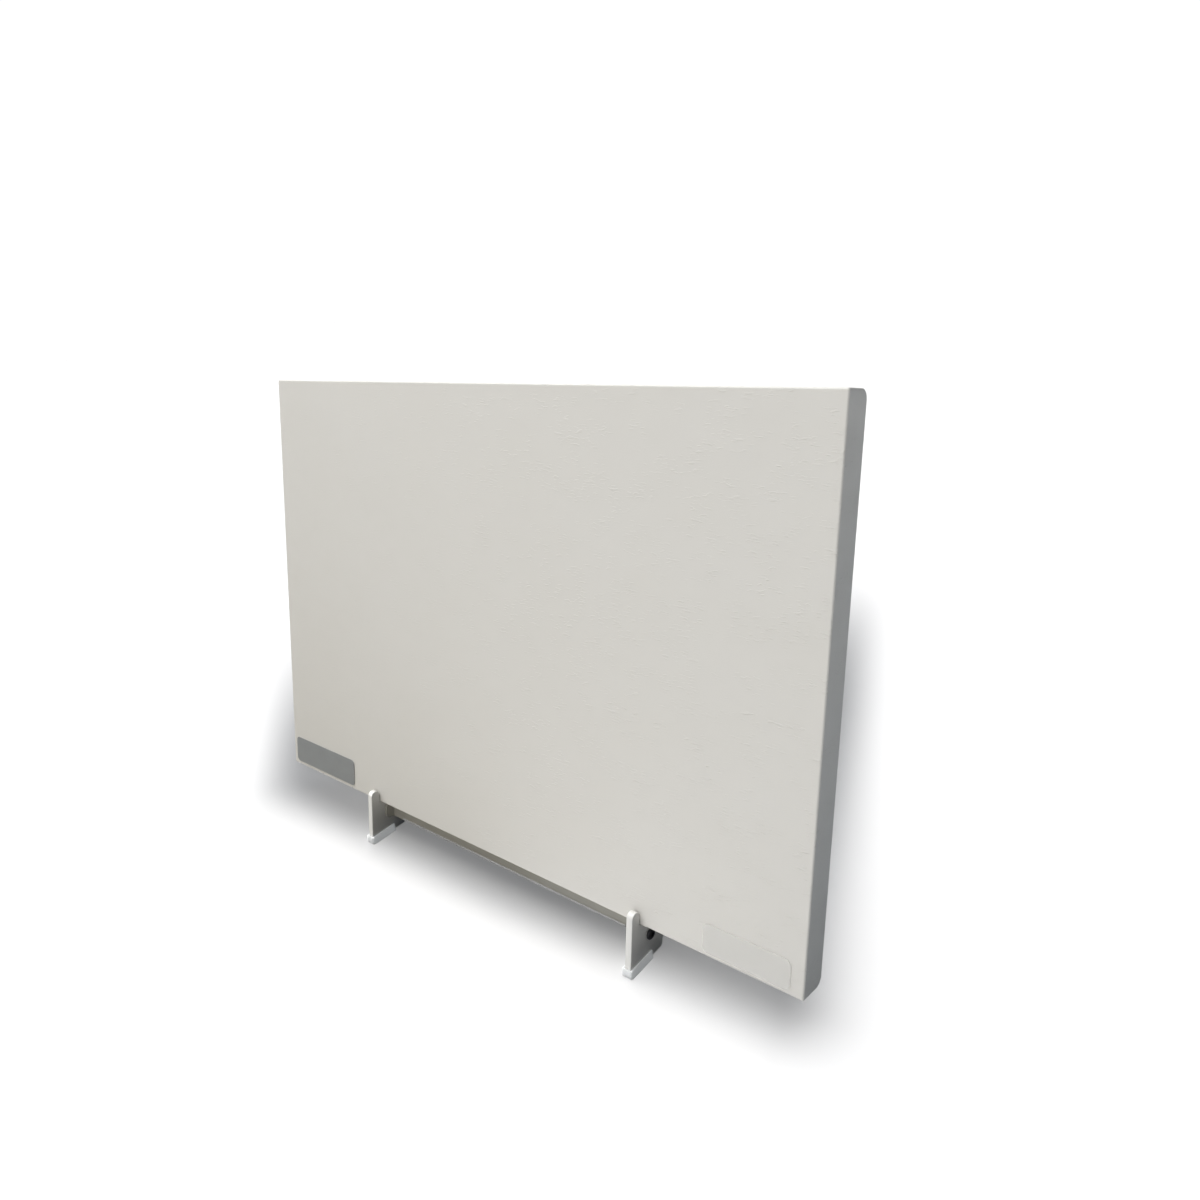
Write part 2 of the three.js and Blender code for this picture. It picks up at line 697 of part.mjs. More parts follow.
// Button head bolt with a hexagon socket, its head towards +X and its seat at the origin
function buttonBolt() {
  const length = footSheet + fit + boltGrip;
  const edge = boltHeadHeight - boltCrown;
  const crown = boltCrownShares.map(([r, h]) => [r * boltHead / 2, edge + h * boltCrown]);
  const body = turned([[0, -length], [boltShank / 2, -length], [boltShank / 2, 0], [boltHead / 2, 0],
    ...crown, [0, boltHeadHeight]]).rotateZ(-quarter);
  const socketFloor = boltHeadHeight - boltSocketDepth;
  const socketTop = boltHeadHeight + overrun;
  const socket = barX(boltSocket * acrossCorners, socketFloor, socketTop, 0, 0, hexSides);
  return shaped(cut(solid(body), [socket]));
}

const white = 0xd9d7d1;
const heater = new THREE.Group();

// Stand
const stand = group(heater);
stand.position.x = standShift;
for (const [side, sign] of [['left', -1], ['right', 1]]) {
  const foot = group(stand);
  foot.position.x = sign * standSpan / 2;
  piece(foot, `${side}_foot`, footPlate(), finish(white, 0.45));
  piece(foot, `${side}_toe_shoe`, shoe(shoeToe, Math.tan(panelLean), 1), finish(0xdfe3e4, 0.3));
  piece(foot, `${side}_heel_shoe`, shoe(heel + fit + shoeWall, 0, -1), finish(0xdfe3e4, 0.3));
  for (const [place, bolt] of [['front', frontBolt], ['rear', rearBolt]]) {
    const centre = leaned(bolt.back, -bolt.drop);
    const screw = piece(foot, `${side}_${place}_bolt`, buttonBolt(), finish(0x1c1c1e, 0.35, 0.6));
    screw.position.set(sign * (footSheet / 2 + fit), centre.x, centre.y);
    screw.rotation.z = sign > 0 ? 0 : Math.PI;
  }
}
const rail = group(stand);
rail.position.z = panelLift;
rail.rotation.x = -panelLean;
piece(rail, 'cross_rail', crossRail(), finish(0xb9b7b0, 0.4, 0.3));

// Panel, leaning in the notches of the feet
const panel = group(heater);
panel.position.z = panelLift;
panel.rotation.x = -panelLean;

piece(panel, 'front_pan', frontPan(), finish(white, 0.5));
piece(panel, 'rear_cover', rearCover(), finish(0xc9cbcc, 0.4, 0.6));
screwPlaces().forEach(([x, z], index) => {
  const screw = piece(panel, `cover_screw_${index + 1}`,
    panScrew(screwShank, screwLength, screwHead, screwHeadHeight), finish(0xb0b3b5, 0.35, 0.9));
  screw.position.set(x, panelDepth + fit, z);
});

// Labels on the face
const labelBack = -fit;
const labelLeft = -panelWidth / 2 + labelEdge;
piece(panel, 'label_plate', prismY(roundRect(labelLeft, labelRise, labelLeft + labelWidth,
  labelRise + labelHeight, labelCorner), labelBack - labelSheet, labelBack), finish(0x8f9190, 0.4, 0.5));
const stickerRight = panelWidth / 2 - stickerEdge;
piece(panel, 'corner_sticker', prismY(roundRect(stickerRight - stickerWidth, stickerRise, stickerRight,
  stickerRise + stickerHeight, stickerCorner), labelBack - labelSheet, labelBack), finish(0xdcdad6, 0.15));

// Heating stack
const stack = group(panel);
piece(stack, 'front_insulation', shaped(stackSheet(layers.frontInsulation)), finish(0xc8a868, 0.6));
piece(stack, 'heating_film', shaped(stackSheet(layers.film)), finish(0x222222, 0.7));
for (const [side, sign] of [['left', -1], ['right', 1]]) {
  const x = sign * busbarCentre;
  piece(stack, `${side}_busbar`, block(x - busbarWidth / 2, layers.busbar[0], stackLow + busbarInset,
    x + busbarWidth / 2, layers.busbar[1], stackHigh - busbarInset), finish(0xb87333, 0.3, 1));
}
for (const [name, place, material] of [
  ['rear_insulation', layers.rearInsulation, finish(0xc8a868, 0.6)],
  ['reflector_foil', layers.foil, finish(0xd8dadc, 0.2, 1)]]) {
  piece(stack, name, shaped(cut(stackSheet(place), leadHoles(place))), material);
}
piece(stack, 'insulation_board', insulationBoard(), finish(0xe6e2d2, 0.95));
piece(stack, 'thermal_cutout', thermalCutout(), finish(0x2b2b2b, 0.5));

// Terminal box with its block, gland, lid and screws
const terminals = group(panel);
const boxColour = 0xe8e8e6;
piece(terminals, 'terminal_box', terminalBox(), finish(boxColour, 0.5));
piece(terminals, 'terminal_box_lid', terminalBoxLid(), finish(boxColour, 0.5));
bossPlaces.forEach(([x, z], index) => {
  const screw = piece(terminals, `lid_screw_${index + 1}`,
    panScrew(boxScrewShank, lidScrewLength, boxScrewHead, boxScrewHeadHeight), finish(0xb0b3b5, 0.35, 0.9));
  screw.position.set(x, lidScrewSeat, z);
});
baseScrewPlaces.slice(0, -1).forEach(([x, z], index) => {
  const screw = piece(terminals, `base_screw_${index + 1}`,
    panScrew(boxScrewShank, baseScrewLength, boxScrewHead, boxScrewHeadHeight), finish(0xb0b3b5, 0.35, 0.9));
  screw.position.set(x, boxFloor + fit, z);
});
piece(terminals, 'terminal_block', terminalBlock(), finish(0xd8d4c4, 0.55));
const gland = group(terminals);
gland.position.set(0, glandLevel, grooveHeight);
piece(gland, 'gland_body', glandBody(), finish(0x2a2a2b, 0.5));
piece(gland, 'gland_nut', glandNut(), finish(0x2a2a2b, 0.5));
piece(gland, 'gland_seal', shaped(ringX(glandHex + glandSealEdge, glandThread + 2 * fit, boxRight + fit,
  boxRight + fit + glandSeal, roundSides)), finish(0x151515, 0.8));
piece(gland, 'gland_locknut', shaped(ringX(glandHex, glandThread + 2 * fit,
  boxRight - boxWall - fit - glandLockNut, boxRight - boxWall - fit, hexSides)), finish(0xb0b3b5, 0.35, 0.9));

// Grommet in the wiring hole, a bobbin with its neck through the cover and the box floor
const grommetNeck = wiringHole / 2 - fit;
const grommetBack = boxFloor + fit;
const grommetFront = coverFront - fit;
piece(terminals, 'wiring_grommet', turned([
  [grommetBore / 2, grommetFront - grommetLip], [wiringHole / 2 + grommetFlange, grommetFront - grommetLip],
  [wiringHole / 2 + grommetFlange, grommetFront], [grommetNeck, grommetFront], [grommetNeck, grommetBack],
  [wiringHole / 2 + grommetFlange, grommetBack], [wiringHole / 2 + grommetFlange, grommetBack + grommetLip],
  [grommetBore / 2, grommetBack + grommetLip], [grommetBore / 2, grommetFront - grommetLip]])
  .translate(wiringX, 0, grooveHeight), finish(0x1a1a1a, 0.8));

// Earth screw with its ring terminal
const ring = solid(barY(earthRing, 0, 0, earthRingSheet, 0, roundSides))
  .add(solid(block(0, 0, -leadDiameter / 2, earthRingTail, earthRingSheet, leadDiameter / 2)));
piece(terminals, 'earth_ring', shaped(cut(ring, [
  barY(boxScrewShank + 2 * fit, 0, -overrun, earthRingSheet + overrun, 0)])), finish(0xc9c9c4, 0.3, 1))
  .position.set(earthX, boxFloor + fit, earthZ);
piece(terminals, 'earth_screw', panScrew(boxScrewShank, baseScrewLength, boxScrewHead, boxScrewHeadHeight),
  finish(0xc8a24a, 0.35, 0.9)).position.set(earthX, boxFloor + fit + earthRingSheet + fit, earthZ);

// Internal leads, from the block through the grommet into the groove of the board
const leadLevel = grooveFloor + fit + leadDiameter / 2;
const poleEntry = blockLeft + leadInsertion;
const forwardEnd = layers.busbar[1] + fit;
const liveZ = grooveHeight + leadPitch / 2;
const neutralZ = grooveHeight - leadPitch / 2;
const tailEnd = earthX + earthRingTail;
const tailLevel = boxFloor + fit + leadDiameter / 2;
piece(terminals, 'live_lead', lead([
  [poleEntry, poleLevel, poleHeights[0]], [blockLeft - leadBend, poleLevel, poleHeights[0]],
  [wiringX, poleLevel, liveZ], [wiringX, leadLevel, liveZ],
  [cutoutPlace - cutoutSeat / 2 - leadDiameter, leadLevel, liveZ]], leadBend), finish(0x6b3f22, 0.6));
piece(terminals, 'neutral_lead', lead([
  [poleEntry, poleLevel, poleHeights[1]], [blockLeft - leadBend, poleLevel, poleHeights[1]],
  [wiringX, poleLevel, neutralZ], [wiringX, leadLevel, neutralZ],
  [-grooveEnd, leadLevel, grooveHeight], [-grooveEnd, forwardEnd, grooveHeight]], leadBend),
finish(0x2f5fa8, 0.6));
piece(terminals, 'cutout_lead', lead([
  [cutoutPlace + cutoutSeat / 2 + leadDiameter, leadLevel, grooveHeight],
  [grooveEnd, leadLevel, grooveHeight], [grooveEnd, forwardEnd, grooveHeight]], leadBend),
finish(0x6b3f22, 0.6));
piece(terminals, 'earth_lead', lead([
  [poleEntry, poleLevel, poleHeights[2]], [blockLeft - earthBend, poleLevel, poleHeights[2]],
  [tailEnd + earthBend + fit, tailLevel, earthZ], [tailEnd + fit, tailLevel, earthZ]], earthBend / 2),
finish(0x6d9a2e, 0.6));

// The middle of the footprint comes to the origin
const footprint = new THREE.Box3().setFromObject(heater);
heater.position.y = -(footprint.min.y + footprint.max.y) / 2;

export default heater;
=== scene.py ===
# Infrared heating panel in its pair of feet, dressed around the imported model.
# Metres, +Z up, front towards -Y, origin at the middle of the footprint on the floor.
import math

import bmesh
import bpy
from mathutils import Matrix, Vector


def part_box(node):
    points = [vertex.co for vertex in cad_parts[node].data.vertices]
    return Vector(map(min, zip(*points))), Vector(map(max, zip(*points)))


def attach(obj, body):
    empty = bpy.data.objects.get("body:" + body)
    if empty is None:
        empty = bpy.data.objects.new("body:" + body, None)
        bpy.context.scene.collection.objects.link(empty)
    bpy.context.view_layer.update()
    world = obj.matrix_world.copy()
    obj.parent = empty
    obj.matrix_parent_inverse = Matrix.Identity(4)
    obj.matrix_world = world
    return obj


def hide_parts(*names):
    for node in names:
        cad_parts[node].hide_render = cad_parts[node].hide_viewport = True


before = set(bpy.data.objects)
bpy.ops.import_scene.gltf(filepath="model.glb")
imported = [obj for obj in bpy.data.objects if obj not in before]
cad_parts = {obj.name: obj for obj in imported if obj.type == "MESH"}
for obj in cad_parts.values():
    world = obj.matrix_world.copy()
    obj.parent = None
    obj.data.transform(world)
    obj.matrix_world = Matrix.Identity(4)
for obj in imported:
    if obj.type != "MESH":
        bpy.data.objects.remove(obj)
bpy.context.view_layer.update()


# Camera, fitted to the corners of the panel and to the feet: from the front right, a little above the
# panel, held with a small roll. The two pixel values are where its axis meets the 1200 pixel picture.
camera_place = Vector((0.5352, -0.4768, 0.5288))
camera_turn = math.radians(41.930)
camera_tilt = math.radians(-20.672)
camera_roll = math.radians(-6.883)
focal_share = 0.7652
picture_side = 1200
axis_across, axis_down = 596.08, 582.07
film_width = 36
near, far = 0.01, 60
quarter = math.pi / 2


def placed(name, data):
    thing = bpy.data.objects.new(name, data)
    bpy.context.collection.objects.link(thing)
    return thing


lens = bpy.data.cameras.new("camera")
lens.sensor_width = film_width
lens.lens = focal_share * film_width
lens.shift_x = 0.5 - axis_across / picture_side
lens.shift_y = axis_down / picture_side - 0.5
lens.clip_start, lens.clip_end = near, far
camera = placed("camera", lens)
level = Matrix.Rotation(quarter + camera_tilt, 4, "X")
aim = Matrix.Rotation(camera_turn, 4, "Z") @ level @ Matrix.Rotation(camera_roll, 4, "Z")
camera.matrix_world = Matrix.Translation(camera_place) @ aim
bpy.context.scene.camera = camera
bpy.context.scene.view_settings.view_transform = "Standard"


# Studio: a pale matt floor and a white backdrop for the camera. Under the floor lies the ground that only
# the light meets: white paper with dark cloths, which keep its light off the feet and the right side.
floor_reach = 9
floor_sides = 96
floor_white = (0.766, 0.76, 0.754)
backdrop_reach = 30
backdrop_glow = 1.05
paper_depth = 0.004
paper_corners = [(-floor_reach, -floor_reach), (floor_reach, -floor_reach),
                 (floor_reach, floor_reach), (-floor_reach, floor_reach)]
paper_white = (0.8, 0.8, 0.8)
side_cloth_depth = 0.0025
side_cloth_corners = [(0.32, -0.9), (1.4, -0.9), (1.4, 1.2), (0.32, 1.2)]
side_cloth_grey = (0.35, 0.37, 0.39)
left_cloth_depth = 0.003
left_cloth_corners = [(-1.6, -1.4), (0, -1.4), (0, -0.09), (-1.6, -0.09)]
left_cloth_grey = (0.27, 0.25, 0.20)
foot_cloth_depth = 0.002
foot_cloth_corners = [(-0.32, -0.09), (0.32, -0.09), (0.32, 0.15), (-0.32, 0.15)]
foot_cloth_black = (0.04, 0.04, 0.04)
light_rays = ("diffuse", "glossy", "transmission")


def matt_finish(name, colour, cover=1):
    material = bpy.data.materials.new(name)
    material.use_nodes = True
    shader = material.node_tree.nodes["Principled BSDF"]
    shader.inputs["Base Color"].default_value = (*colour, 1)
    shader.inputs["Roughness"].default_value = 1
    shader.inputs["Specular IOR Level"].default_value = 0
    shader.inputs["Alpha"].default_value = cover
    return material


def stage_piece(name, shell, finish, *rays):
    """A piece of the studio, met by the named rays only."""
    mesh = bpy.data.meshes.new(name)
    shell.to_mesh(mesh)
    shell.free()
    mesh.materials.append(finish)
    prop = placed(name, mesh)
    for ray in ("camera", "diffuse", "glossy", "transmission", "shadow"):
        setattr(prop, f"visible_{ray}", ray in rays)
    return prop


def flat_sheet(corners, level):
    shell = bmesh.new()
    shell.faces.new([shell.verts.new((x, y, level)) for x, y in corners])
    return shell


disc = bmesh.new()
bmesh.ops.create_circle(disc, cap_ends=True, segments=floor_sides, radius=floor_reach)
floor = stage_piece("floor", disc, matt_finish("floor_paint", floor_white), "camera")
for name, corners, depth, grey in (
        ("white_paper", paper_corners, paper_depth, paper_white),
        ("side_cloth", side_cloth_corners, side_cloth_depth, side_cloth_grey),
        ("left_cloth", left_cloth_corners, left_cloth_depth, left_cloth_grey),
        ("foot_cloth", foot_cloth_corners, foot_cloth_depth, foot_cloth_black)):
    stage_piece(name, flat_sheet(corners, -depth), matt_finish(name, grey), *light_rays)

glow = bpy.data.materials.new("backdrop_white")
glow.use_nodes = True
glow.node_tree.nodes.clear()
lamp = glow.node_tree.nodes.new("ShaderNodeEmission")
sheet_out = glow.node_tree.nodes.new("ShaderNodeOutputMaterial")
lamp.inputs["Strength"].default_value = backdrop_glow
glow.node_tree.links.new(lamp.outputs[0], sheet_out.inputs["Surface"])
dome = bmesh.new()
bmesh.ops.create_uvsphere(dome, u_segments=floor_sides, v_segments=floor_sides // 2, radius=backdrop_reach)
stage_piece("backdrop", dome, glow, "camera")


# Floor light: one broad soft light for the floor alone. Its only shade is a thin gauze that no other light
# meets: it draws the soft even shadow under and beside the panel and thins out all round.
floor_strength = 4.5
floor_spread = math.radians(80)
floor_lean = (math.radians(-4), math.radians(-14))
gauze_height = 0.05
gauze_cover = 0.76
gauze_middle = (-0.02, 0.05, 0)
gauze_fade = (0.33, 0.78)
gauze_corners = [(-0.338, -0.083), (0, -0.078), (0.305, -0.060), (0.290, -0.02), (0.270, 0.025),
                 (0.238, 0.105), (0.203, 0.20), (0.153, 0.33), (0.093, 0.485), (0.034, 0.65),
                 (-0.026, 0.8), (-0.106, 1.0), (-1.88, 1.0)]
gauze_black = (0.04, 0.04, 0.04)

thinned = matt_finish("floor_gauze", gauze_black)
weave = thinned.node_tree
thread = weave.nodes.new("ShaderNodeTexCoord")
across = weave.nodes.new("ShaderNodeVectorMath")
across.operation = "DISTANCE"
across.inputs[1].default_value = gauze_middle
thinning = weave.nodes.new("ShaderNodeMapRange")
thinning.interpolation_type = "SMOOTHSTEP"
thinning.inputs["From Min"].default_value, thinning.inputs["From Max"].default_value = gauze_fade
thinning.inputs["To Min"].default_value, thinning.inputs["To Max"].default_value = gauze_cover, 0
weave.links.new(thread.outputs["Object"], across.inputs[0])
weave.links.new(across.outputs["Value"], thinning.inputs["Value"])
weave.links.new(thinning.outputs[0], weave.nodes["Principled BSDF"].inputs["Alpha"])
gauze = stage_piece("floor_gauze", flat_sheet(gauze_corners, gauze_height), thinned, "shadow")


def linked(name, state, *props):
    """A group that a lamp lights, or is shaded by, alone or not at all."""
    group = bpy.data.collections.new(name)
    for prop in props:
        group.objects.link(prop)
    for entry in group.collection_objects:
        entry.light_linking.link_state = state
    return group


def kept_to(light, lit, shade):
    """Ties a light to the group that it lights, or leaves unlit, and to the one that shades it or doesn't."""
    light.light_linking.receiver_collection = lit
    light.light_linking.blocker_collection = shade


def broad_light(name, strength, spread, lean):
    lamp = bpy.data.lights.new(name, "SUN")
    lamp.energy, lamp.angle = strength, spread
    light = placed(name, lamp)
    light.rotation_euler = (*lean, 0)
    return light


floor_light = broad_light("floor_light", floor_strength, floor_spread, floor_lean)
kept_to(floor_light, linked("floor_alone", "INCLUDE", floor), linked("floor_shade", "INCLUDE", gauze))


# Lights of the panel and its feet: one broad light overhead that leans from the left, a low warm window of
# light in front, a small box of light above the face and a weak cool fill all round.
sky_strength = 0.1
sky_colour = (0.85, 0.97, 1.15)
overhead_strength = 4.2
overhead_spread = math.radians(60)
overhead_lean = (math.radians(-3), math.radians(-26))
key_place, key_aim = Vector((0.25, -1.6, 0.6)), Vector((0, 0, 0.22))
key_size, key_power = 1.1, 9
key_colour = (1.0, 0.97, 0.92)
top_place, top_aim = Vector((-0.5, -0.5, 1.2)), Vector((-0.3, 0, 0.3))
top_size, top_power = 0.7, 4.0
top_colour = (1, 1, 1)

sky = bpy.data.worlds.new("studio_air")
sky.use_nodes = True
sky.node_tree.nodes["Background"].inputs["Color"].default_value = (*sky_colour, 1)
sky.node_tree.nodes["Background"].inputs["Strength"].default_value = sky_strength
bpy.context.scene.world = sky

unlit_floor = linked("unlit_floor", "EXCLUDE", floor)
unseen_gauze = linked("unseen_gauze", "EXCLUDE", gauze)


def window_light(name, place, aim_at, size, power, colour):
    """A square window of light at a place, turned to what it lights."""
    lamp = bpy.data.lights.new(name, "AREA")
    lamp.size, lamp.energy, lamp.color = size, power, colour
    light = placed(name, lamp)
    light.location = place
    light.rotation_euler = (aim_at - place).to_track_quat("-Z", "Y").to_euler()
    return light


overhead_light = broad_light("overhead_light", overhead_strength, overhead_spread, overhead_lean)
key_light = window_light("key_light", key_place, key_aim, key_size, key_power, key_colour)
top_light = window_light("top_light", top_place, top_aim, top_size, top_power, top_colour)
for light in (overhead_light, key_light, top_light):
    kept_to(light, unlit_floor, unseen_gauze)


# Front pan: one sheet of steel, its four walls folded back and turned in as flanges behind the cover. The
# side walls are flat, and the top and bottom walls roll into their flanges with a wide bend.
panel_lean = math.radians(12)
panel_width, panel_height, panel_depth = 0.600, 0.400, 0.027
sheet = 0.0012
cover_sheet = 0.001
clearance = 0.0003
front_bend = 0.0016
rear_bend = 0.007
side_bend = 0.0015
flange_width = 0.018
bend_steps = 8
bend_angle = 35

pan_depth = panel_depth - cover_sheet - clearance
cover_low, cover_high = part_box("rear_cover")
cover_middle = Vector((0, panel_depth - cover_sheet / 2, panel_height / 2))
lean_back = Matrix.Rotation(-panel_lean, 4, "X")
panel_origin = (cover_low + cover_high) / 2 - lean_back @ cover_middle
panel_place = Matrix.Translation(panel_origin) @ lean_back


def arc(centre, radius, start, end, steps):
    turns = [start + (end - start) * step / steps for step in range(steps + 1)]
    return [(centre[0] + radius * math.cos(turn), centre[1] + radius * math.sin(turn)) for turn in turns]


def pan_section(inset):
    """Section of the pan in its Y and Z, drawn in by an inset, with the edges of the rear window."""
    front, rear = front_bend - inset, rear_bend - inset
    back, top = pan_depth - inset, panel_height - inset
    window = [(back, flange_width), (back, panel_height - flange_width)]
    return (arc((back - rear, inset + rear), rear, -quarter, 0, bend_steps) + window
            + arc((back - rear, top - rear), rear, 0, quarter, bend_steps)
            + arc((inset + front, top - front), front, quarter, 2 * quarter, bend_steps)
            + arc((inset + front, inset + front), front, 2 * quarter, 3 * quarter, bend_steps))


def pan_rings(shell, skin):
    """Rings of corners across the pan, for its outside or, a sheet further in, its inside."""
    bend = side_bend - skin
    end = panel_width / 2 - skin
    places = [(end - bend + bend * math.sin(turn), bend * (1 - math.cos(turn)))
              for turn in (quarter * step / bend_steps for step in range(bend_steps + 1))]
    window_edge = panel_width / 2 - flange_width
    right = [(window_edge, 0)] + places
    left = [(-x, inset) for x, inset in reversed(right)]
    return [[shell.verts.new((x, y, z)) for y, z in pan_section(skin + inset)] for x, inset in left + right]


def joined(shell, one, two, gap=None):
    """Faces between two closed rings of corners, with a gap left open if one is named."""
    for j in range(len(one)):
        k = (j + 1) % len(one)
        if j != gap:
            shell.faces.new((one[j], one[k], two[k], two[j]))


def pan_walls(shell, rings):
    """Faces between the rings, open at the rear window, with a flat wall at each end."""
    window_ring = len(rings) // 2 - 1
    edge = bend_steps + 1
    for i, (one, two) in enumerate(zip(rings, rings[1:])):
        joined(shell, one, two, edge if i == window_ring else None)
    shell.faces.new(rings[0])
    shell.faces.new(list(reversed(rings[-1])))
    return [rings[window_ring][edge], rings[window_ring][edge + 1],
            rings[window_ring + 1][edge + 1], rings[window_ring + 1][edge]]


def smoothed(shell, name, sharp=bend_angle):
    """Mesh of a finished shell, its faces out, smooth over the bends and sharp at true edges."""
    bmesh.ops.recalc_face_normals(shell, faces=shell.faces)
    mesh = bpy.data.meshes.new(name)
    shell.to_mesh(mesh)
    shell.free()
    mesh.shade_smooth()
    mesh.set_sharp_from_angle(angle=math.radians(sharp))
    return mesh


def fitted(name, shape, finish, place, body, slot, *nodes, sharp=bend_angle):
    """A finished piece of a shell or a shared mesh, in its place, riding on its body for its nodes."""
    mesh = smoothed(shape, name, sharp) if isinstance(shape, bmesh.types.BMesh) else shape.copy()
    mesh.transform(place)
    mesh.materials.append(finish.material)
    piece = placed(name, mesh)
    flat = piece.modifiers.new("flat_faces", "WEIGHTED_NORMAL")
    flat.keep_sharp = True
    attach(piece, body)
    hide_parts(*nodes)
    return piece


class Finish:
    """Node material that is written as a short chain of calls."""
    noise_low, noise_high = 0.3, 0.7

    def __init__(self, name, colour, roughness, metallic=0):
        self.material = bpy.data.materials.new(name)
        self.material.use_nodes = True
        self.nodes = self.material.node_tree.nodes
        self.links = self.material.node_tree.links
        self.shader = self.nodes["Principled BSDF"]
        self.shader.inputs["Base Color"].default_value = (*colour, 1)
        self.shader.inputs["Roughness"].default_value = roughness
        self.shader.inputs["Metallic"].default_value = metallic
        self.place = self.nodes.new("ShaderNodeTexCoord").outputs["Object"]
        self.normal = None

    def node(self, kind, **values):
        node = self.nodes.new(kind)
        for key, value in values.items():
            setattr(node, key, value)
        return node

    def stretched(self, scale):
        mapping = self.node("ShaderNodeMapping")
        mapping.inputs["Scale"].default_value = scale
        self.links.new(self.place, mapping.inputs["Vector"])
        return mapping.outputs[0]

    def noise(self, grains, detail=2, distortion=0):
        """Noise whose grains measure about the given size, or sizes along X, Y and Z, in metres."""
        sizes = grains if isinstance(grains, tuple) else (grains, grains, grains)
        grain = self.node("ShaderNodeTexNoise")
        grain.inputs["Scale"].default_value = 1
        grain.inputs["Detail"].default_value = detail
        grain.inputs["Distortion"].default_value = distortion
        self.links.new(self.stretched([1 / size for size in sizes]), grain.inputs["Vector"])
        return grain.outputs[0]

    def ramp(self, value, low, high, bottom=0, top=1):
        span = self.node("ShaderNodeMapRange", interpolation_type="SMOOTHSTEP")
        for name, number in (("From Min", low), ("From Max", high), ("To Min", bottom), ("To Max", top)):
            span.inputs[name].default_value = number
        self.links.new(value, span.inputs["Value"])
        return span.outputs[0]

    def product(self, one, two):
        node = self.node("ShaderNodeMath", operation="MULTIPLY")
        self.links.new(one, node.inputs[0])
        self.links.new(two, node.inputs[1])
        return node.outputs[0]

    def relief(self, height, depth):
        """Bump of a height between 0 and 1 that stands the given depth, in metres."""
        bump = self.node("ShaderNodeBump")
        bump.inputs["Distance"].default_value = depth
        self.links.new(height, bump.inputs["Height"])
        if self.normal is not None:
            self.links.new(self.normal, bump.inputs["Normal"])
        self.normal = bump.outputs[0]
        self.links.new(self.normal, self.shader.inputs["Normal"])
        return self

    def mottle(self, value, one, two):
        """Colour that drifts between two tints with a value."""
        blend = self.node("ShaderNodeMix", data_type="RGBA")
        blend.inputs[6].default_value = (*one, 1)
        blend.inputs[7].default_value = (*two, 1)
        self.links.new(value, blend.inputs[0])
        self.links.new(blend.outputs[2], self.shader.inputs["Base Color"])
        return self

    def gloss(self, value, low, high):
        self.links.new(self.ramp(value, self.noise_low, self.noise_high, low, high),
                       self.shader.inputs["Roughness"])
        return self


# The coat is a fine wrinkled powder paint: short flat wrinkles that lie level, in loose clusters, over an
# even orange peel.
coat_white = (0.598, 0.585, 0.555)
coat_shadow = (0.582, 0.567, 0.530)
wrinkle_size = (0.0060, 0.0060, 0.0013)
wrinkle_depth = 0.00019
wrinkle_warp = 0.4
wrinkle_start, wrinkle_full = 0.55, 0.72
cluster_size = (0.022, 0.022, 0.014)
cluster_start, cluster_full = 0.42, 0.62
calm_side, coarse_side, calm_share = -0.2, 0.2, 0.35
peel_size = (0.0014, 0.0014, 0.0010)
peel_depth = 0.00003
drift_size = (0.09, 0.09, 0.06)
coat_sheen = (0.44, 0.54)

coat = Finish("wrinkled_powder_coat", coat_white, roughness=0.5)
wrinkles = coat.ramp(coat.noise(wrinkle_size, distortion=wrinkle_warp), wrinkle_start, wrinkle_full)
clusters = coat.ramp(coat.noise(cluster_size), cluster_start, cluster_full)
sideways = coat.node("ShaderNodeSeparateXYZ")
coat.links.new(coat.place, sideways.inputs[0])
coarser = coat.ramp(sideways.outputs["X"], calm_side, coarse_side, calm_share, 1)
coat.relief(coat.product(coat.product(wrinkles, clusters), coarser), wrinkle_depth)
coat.relief(coat.noise(peel_size), peel_depth)
coat.mottle(coat.noise(drift_size), coat_shadow, coat_white)
coat.gloss(coat.noise(cluster_size, detail=3), *coat_sheen)

pan = bmesh.new()
outside = pan_walls(pan, pan_rings(pan, 0))
inside = pan_walls(pan, pan_rings(pan, sheet))
joined(pan, outside, inside)
pan_piece = fitted("folded_front_pan", pan, coat, panel_place, "panel", "white_powder_coat", "front_pan")


# Edge light, for the pan alone: a row of light under its lower edge that draws the bright line along the
# bend there.
under_place = (0, -0.004, -0.22)
under_length, under_width, under_power = 0.7, 0.03, 0.5

under_lamp = bpy.data.lights.new("under_edge_light", "AREA")
under_lamp.shape, under_lamp.energy = "RECTANGLE", under_power
under_lamp.size, under_lamp.size_y = under_length, under_width
under_light = placed("under_edge_light", under_lamp)
under_light.matrix_world = panel_place @ Matrix.Translation(under_place) @ Matrix.Rotation(math.pi, 4, "X")
kept_to(under_light, linked("pan_alone", "INCLUDE", pan_piece), unseen_gauze)


# Rear cover: a flat sheet of galvanised steel that closes the pan, its cut edge broken, and the ten pan
# head screws that hold it to the flanges.
cover_margin = 0.0075
cover_corner = 0.004
cover_edge = 0.0002
corner_steps = 8
spangles = 140
zinc_grey = (0.56, 0.57, 0.58)
zinc_dark, zinc_bright = (0.535, 0.545, 0.555), (0.585, 0.595, 0.605)
zinc_sheen = (0.41, 0.47)
rolling_size, rolling_depth = (0.0009, 0.0009, 0.006), 0.00001


def plate_ring(width, height, corner, level, middle):
    """Corners of a rounded rectangle in X and Z around its middle, at a level in Y."""
    x, z = width / 2 - corner, height / 2 - corner
    turns = [(x, -z, -quarter), (x, z, 0), (-x, z, quarter), (-x, -z, 2 * quarter)]
    ring = [point for cx, cz, start in turns
            for point in arc((cx, cz), corner, start, start + quarter, corner_steps)]
    return [(middle[0] + px, level, middle[1] + pz) for px, pz in ring]


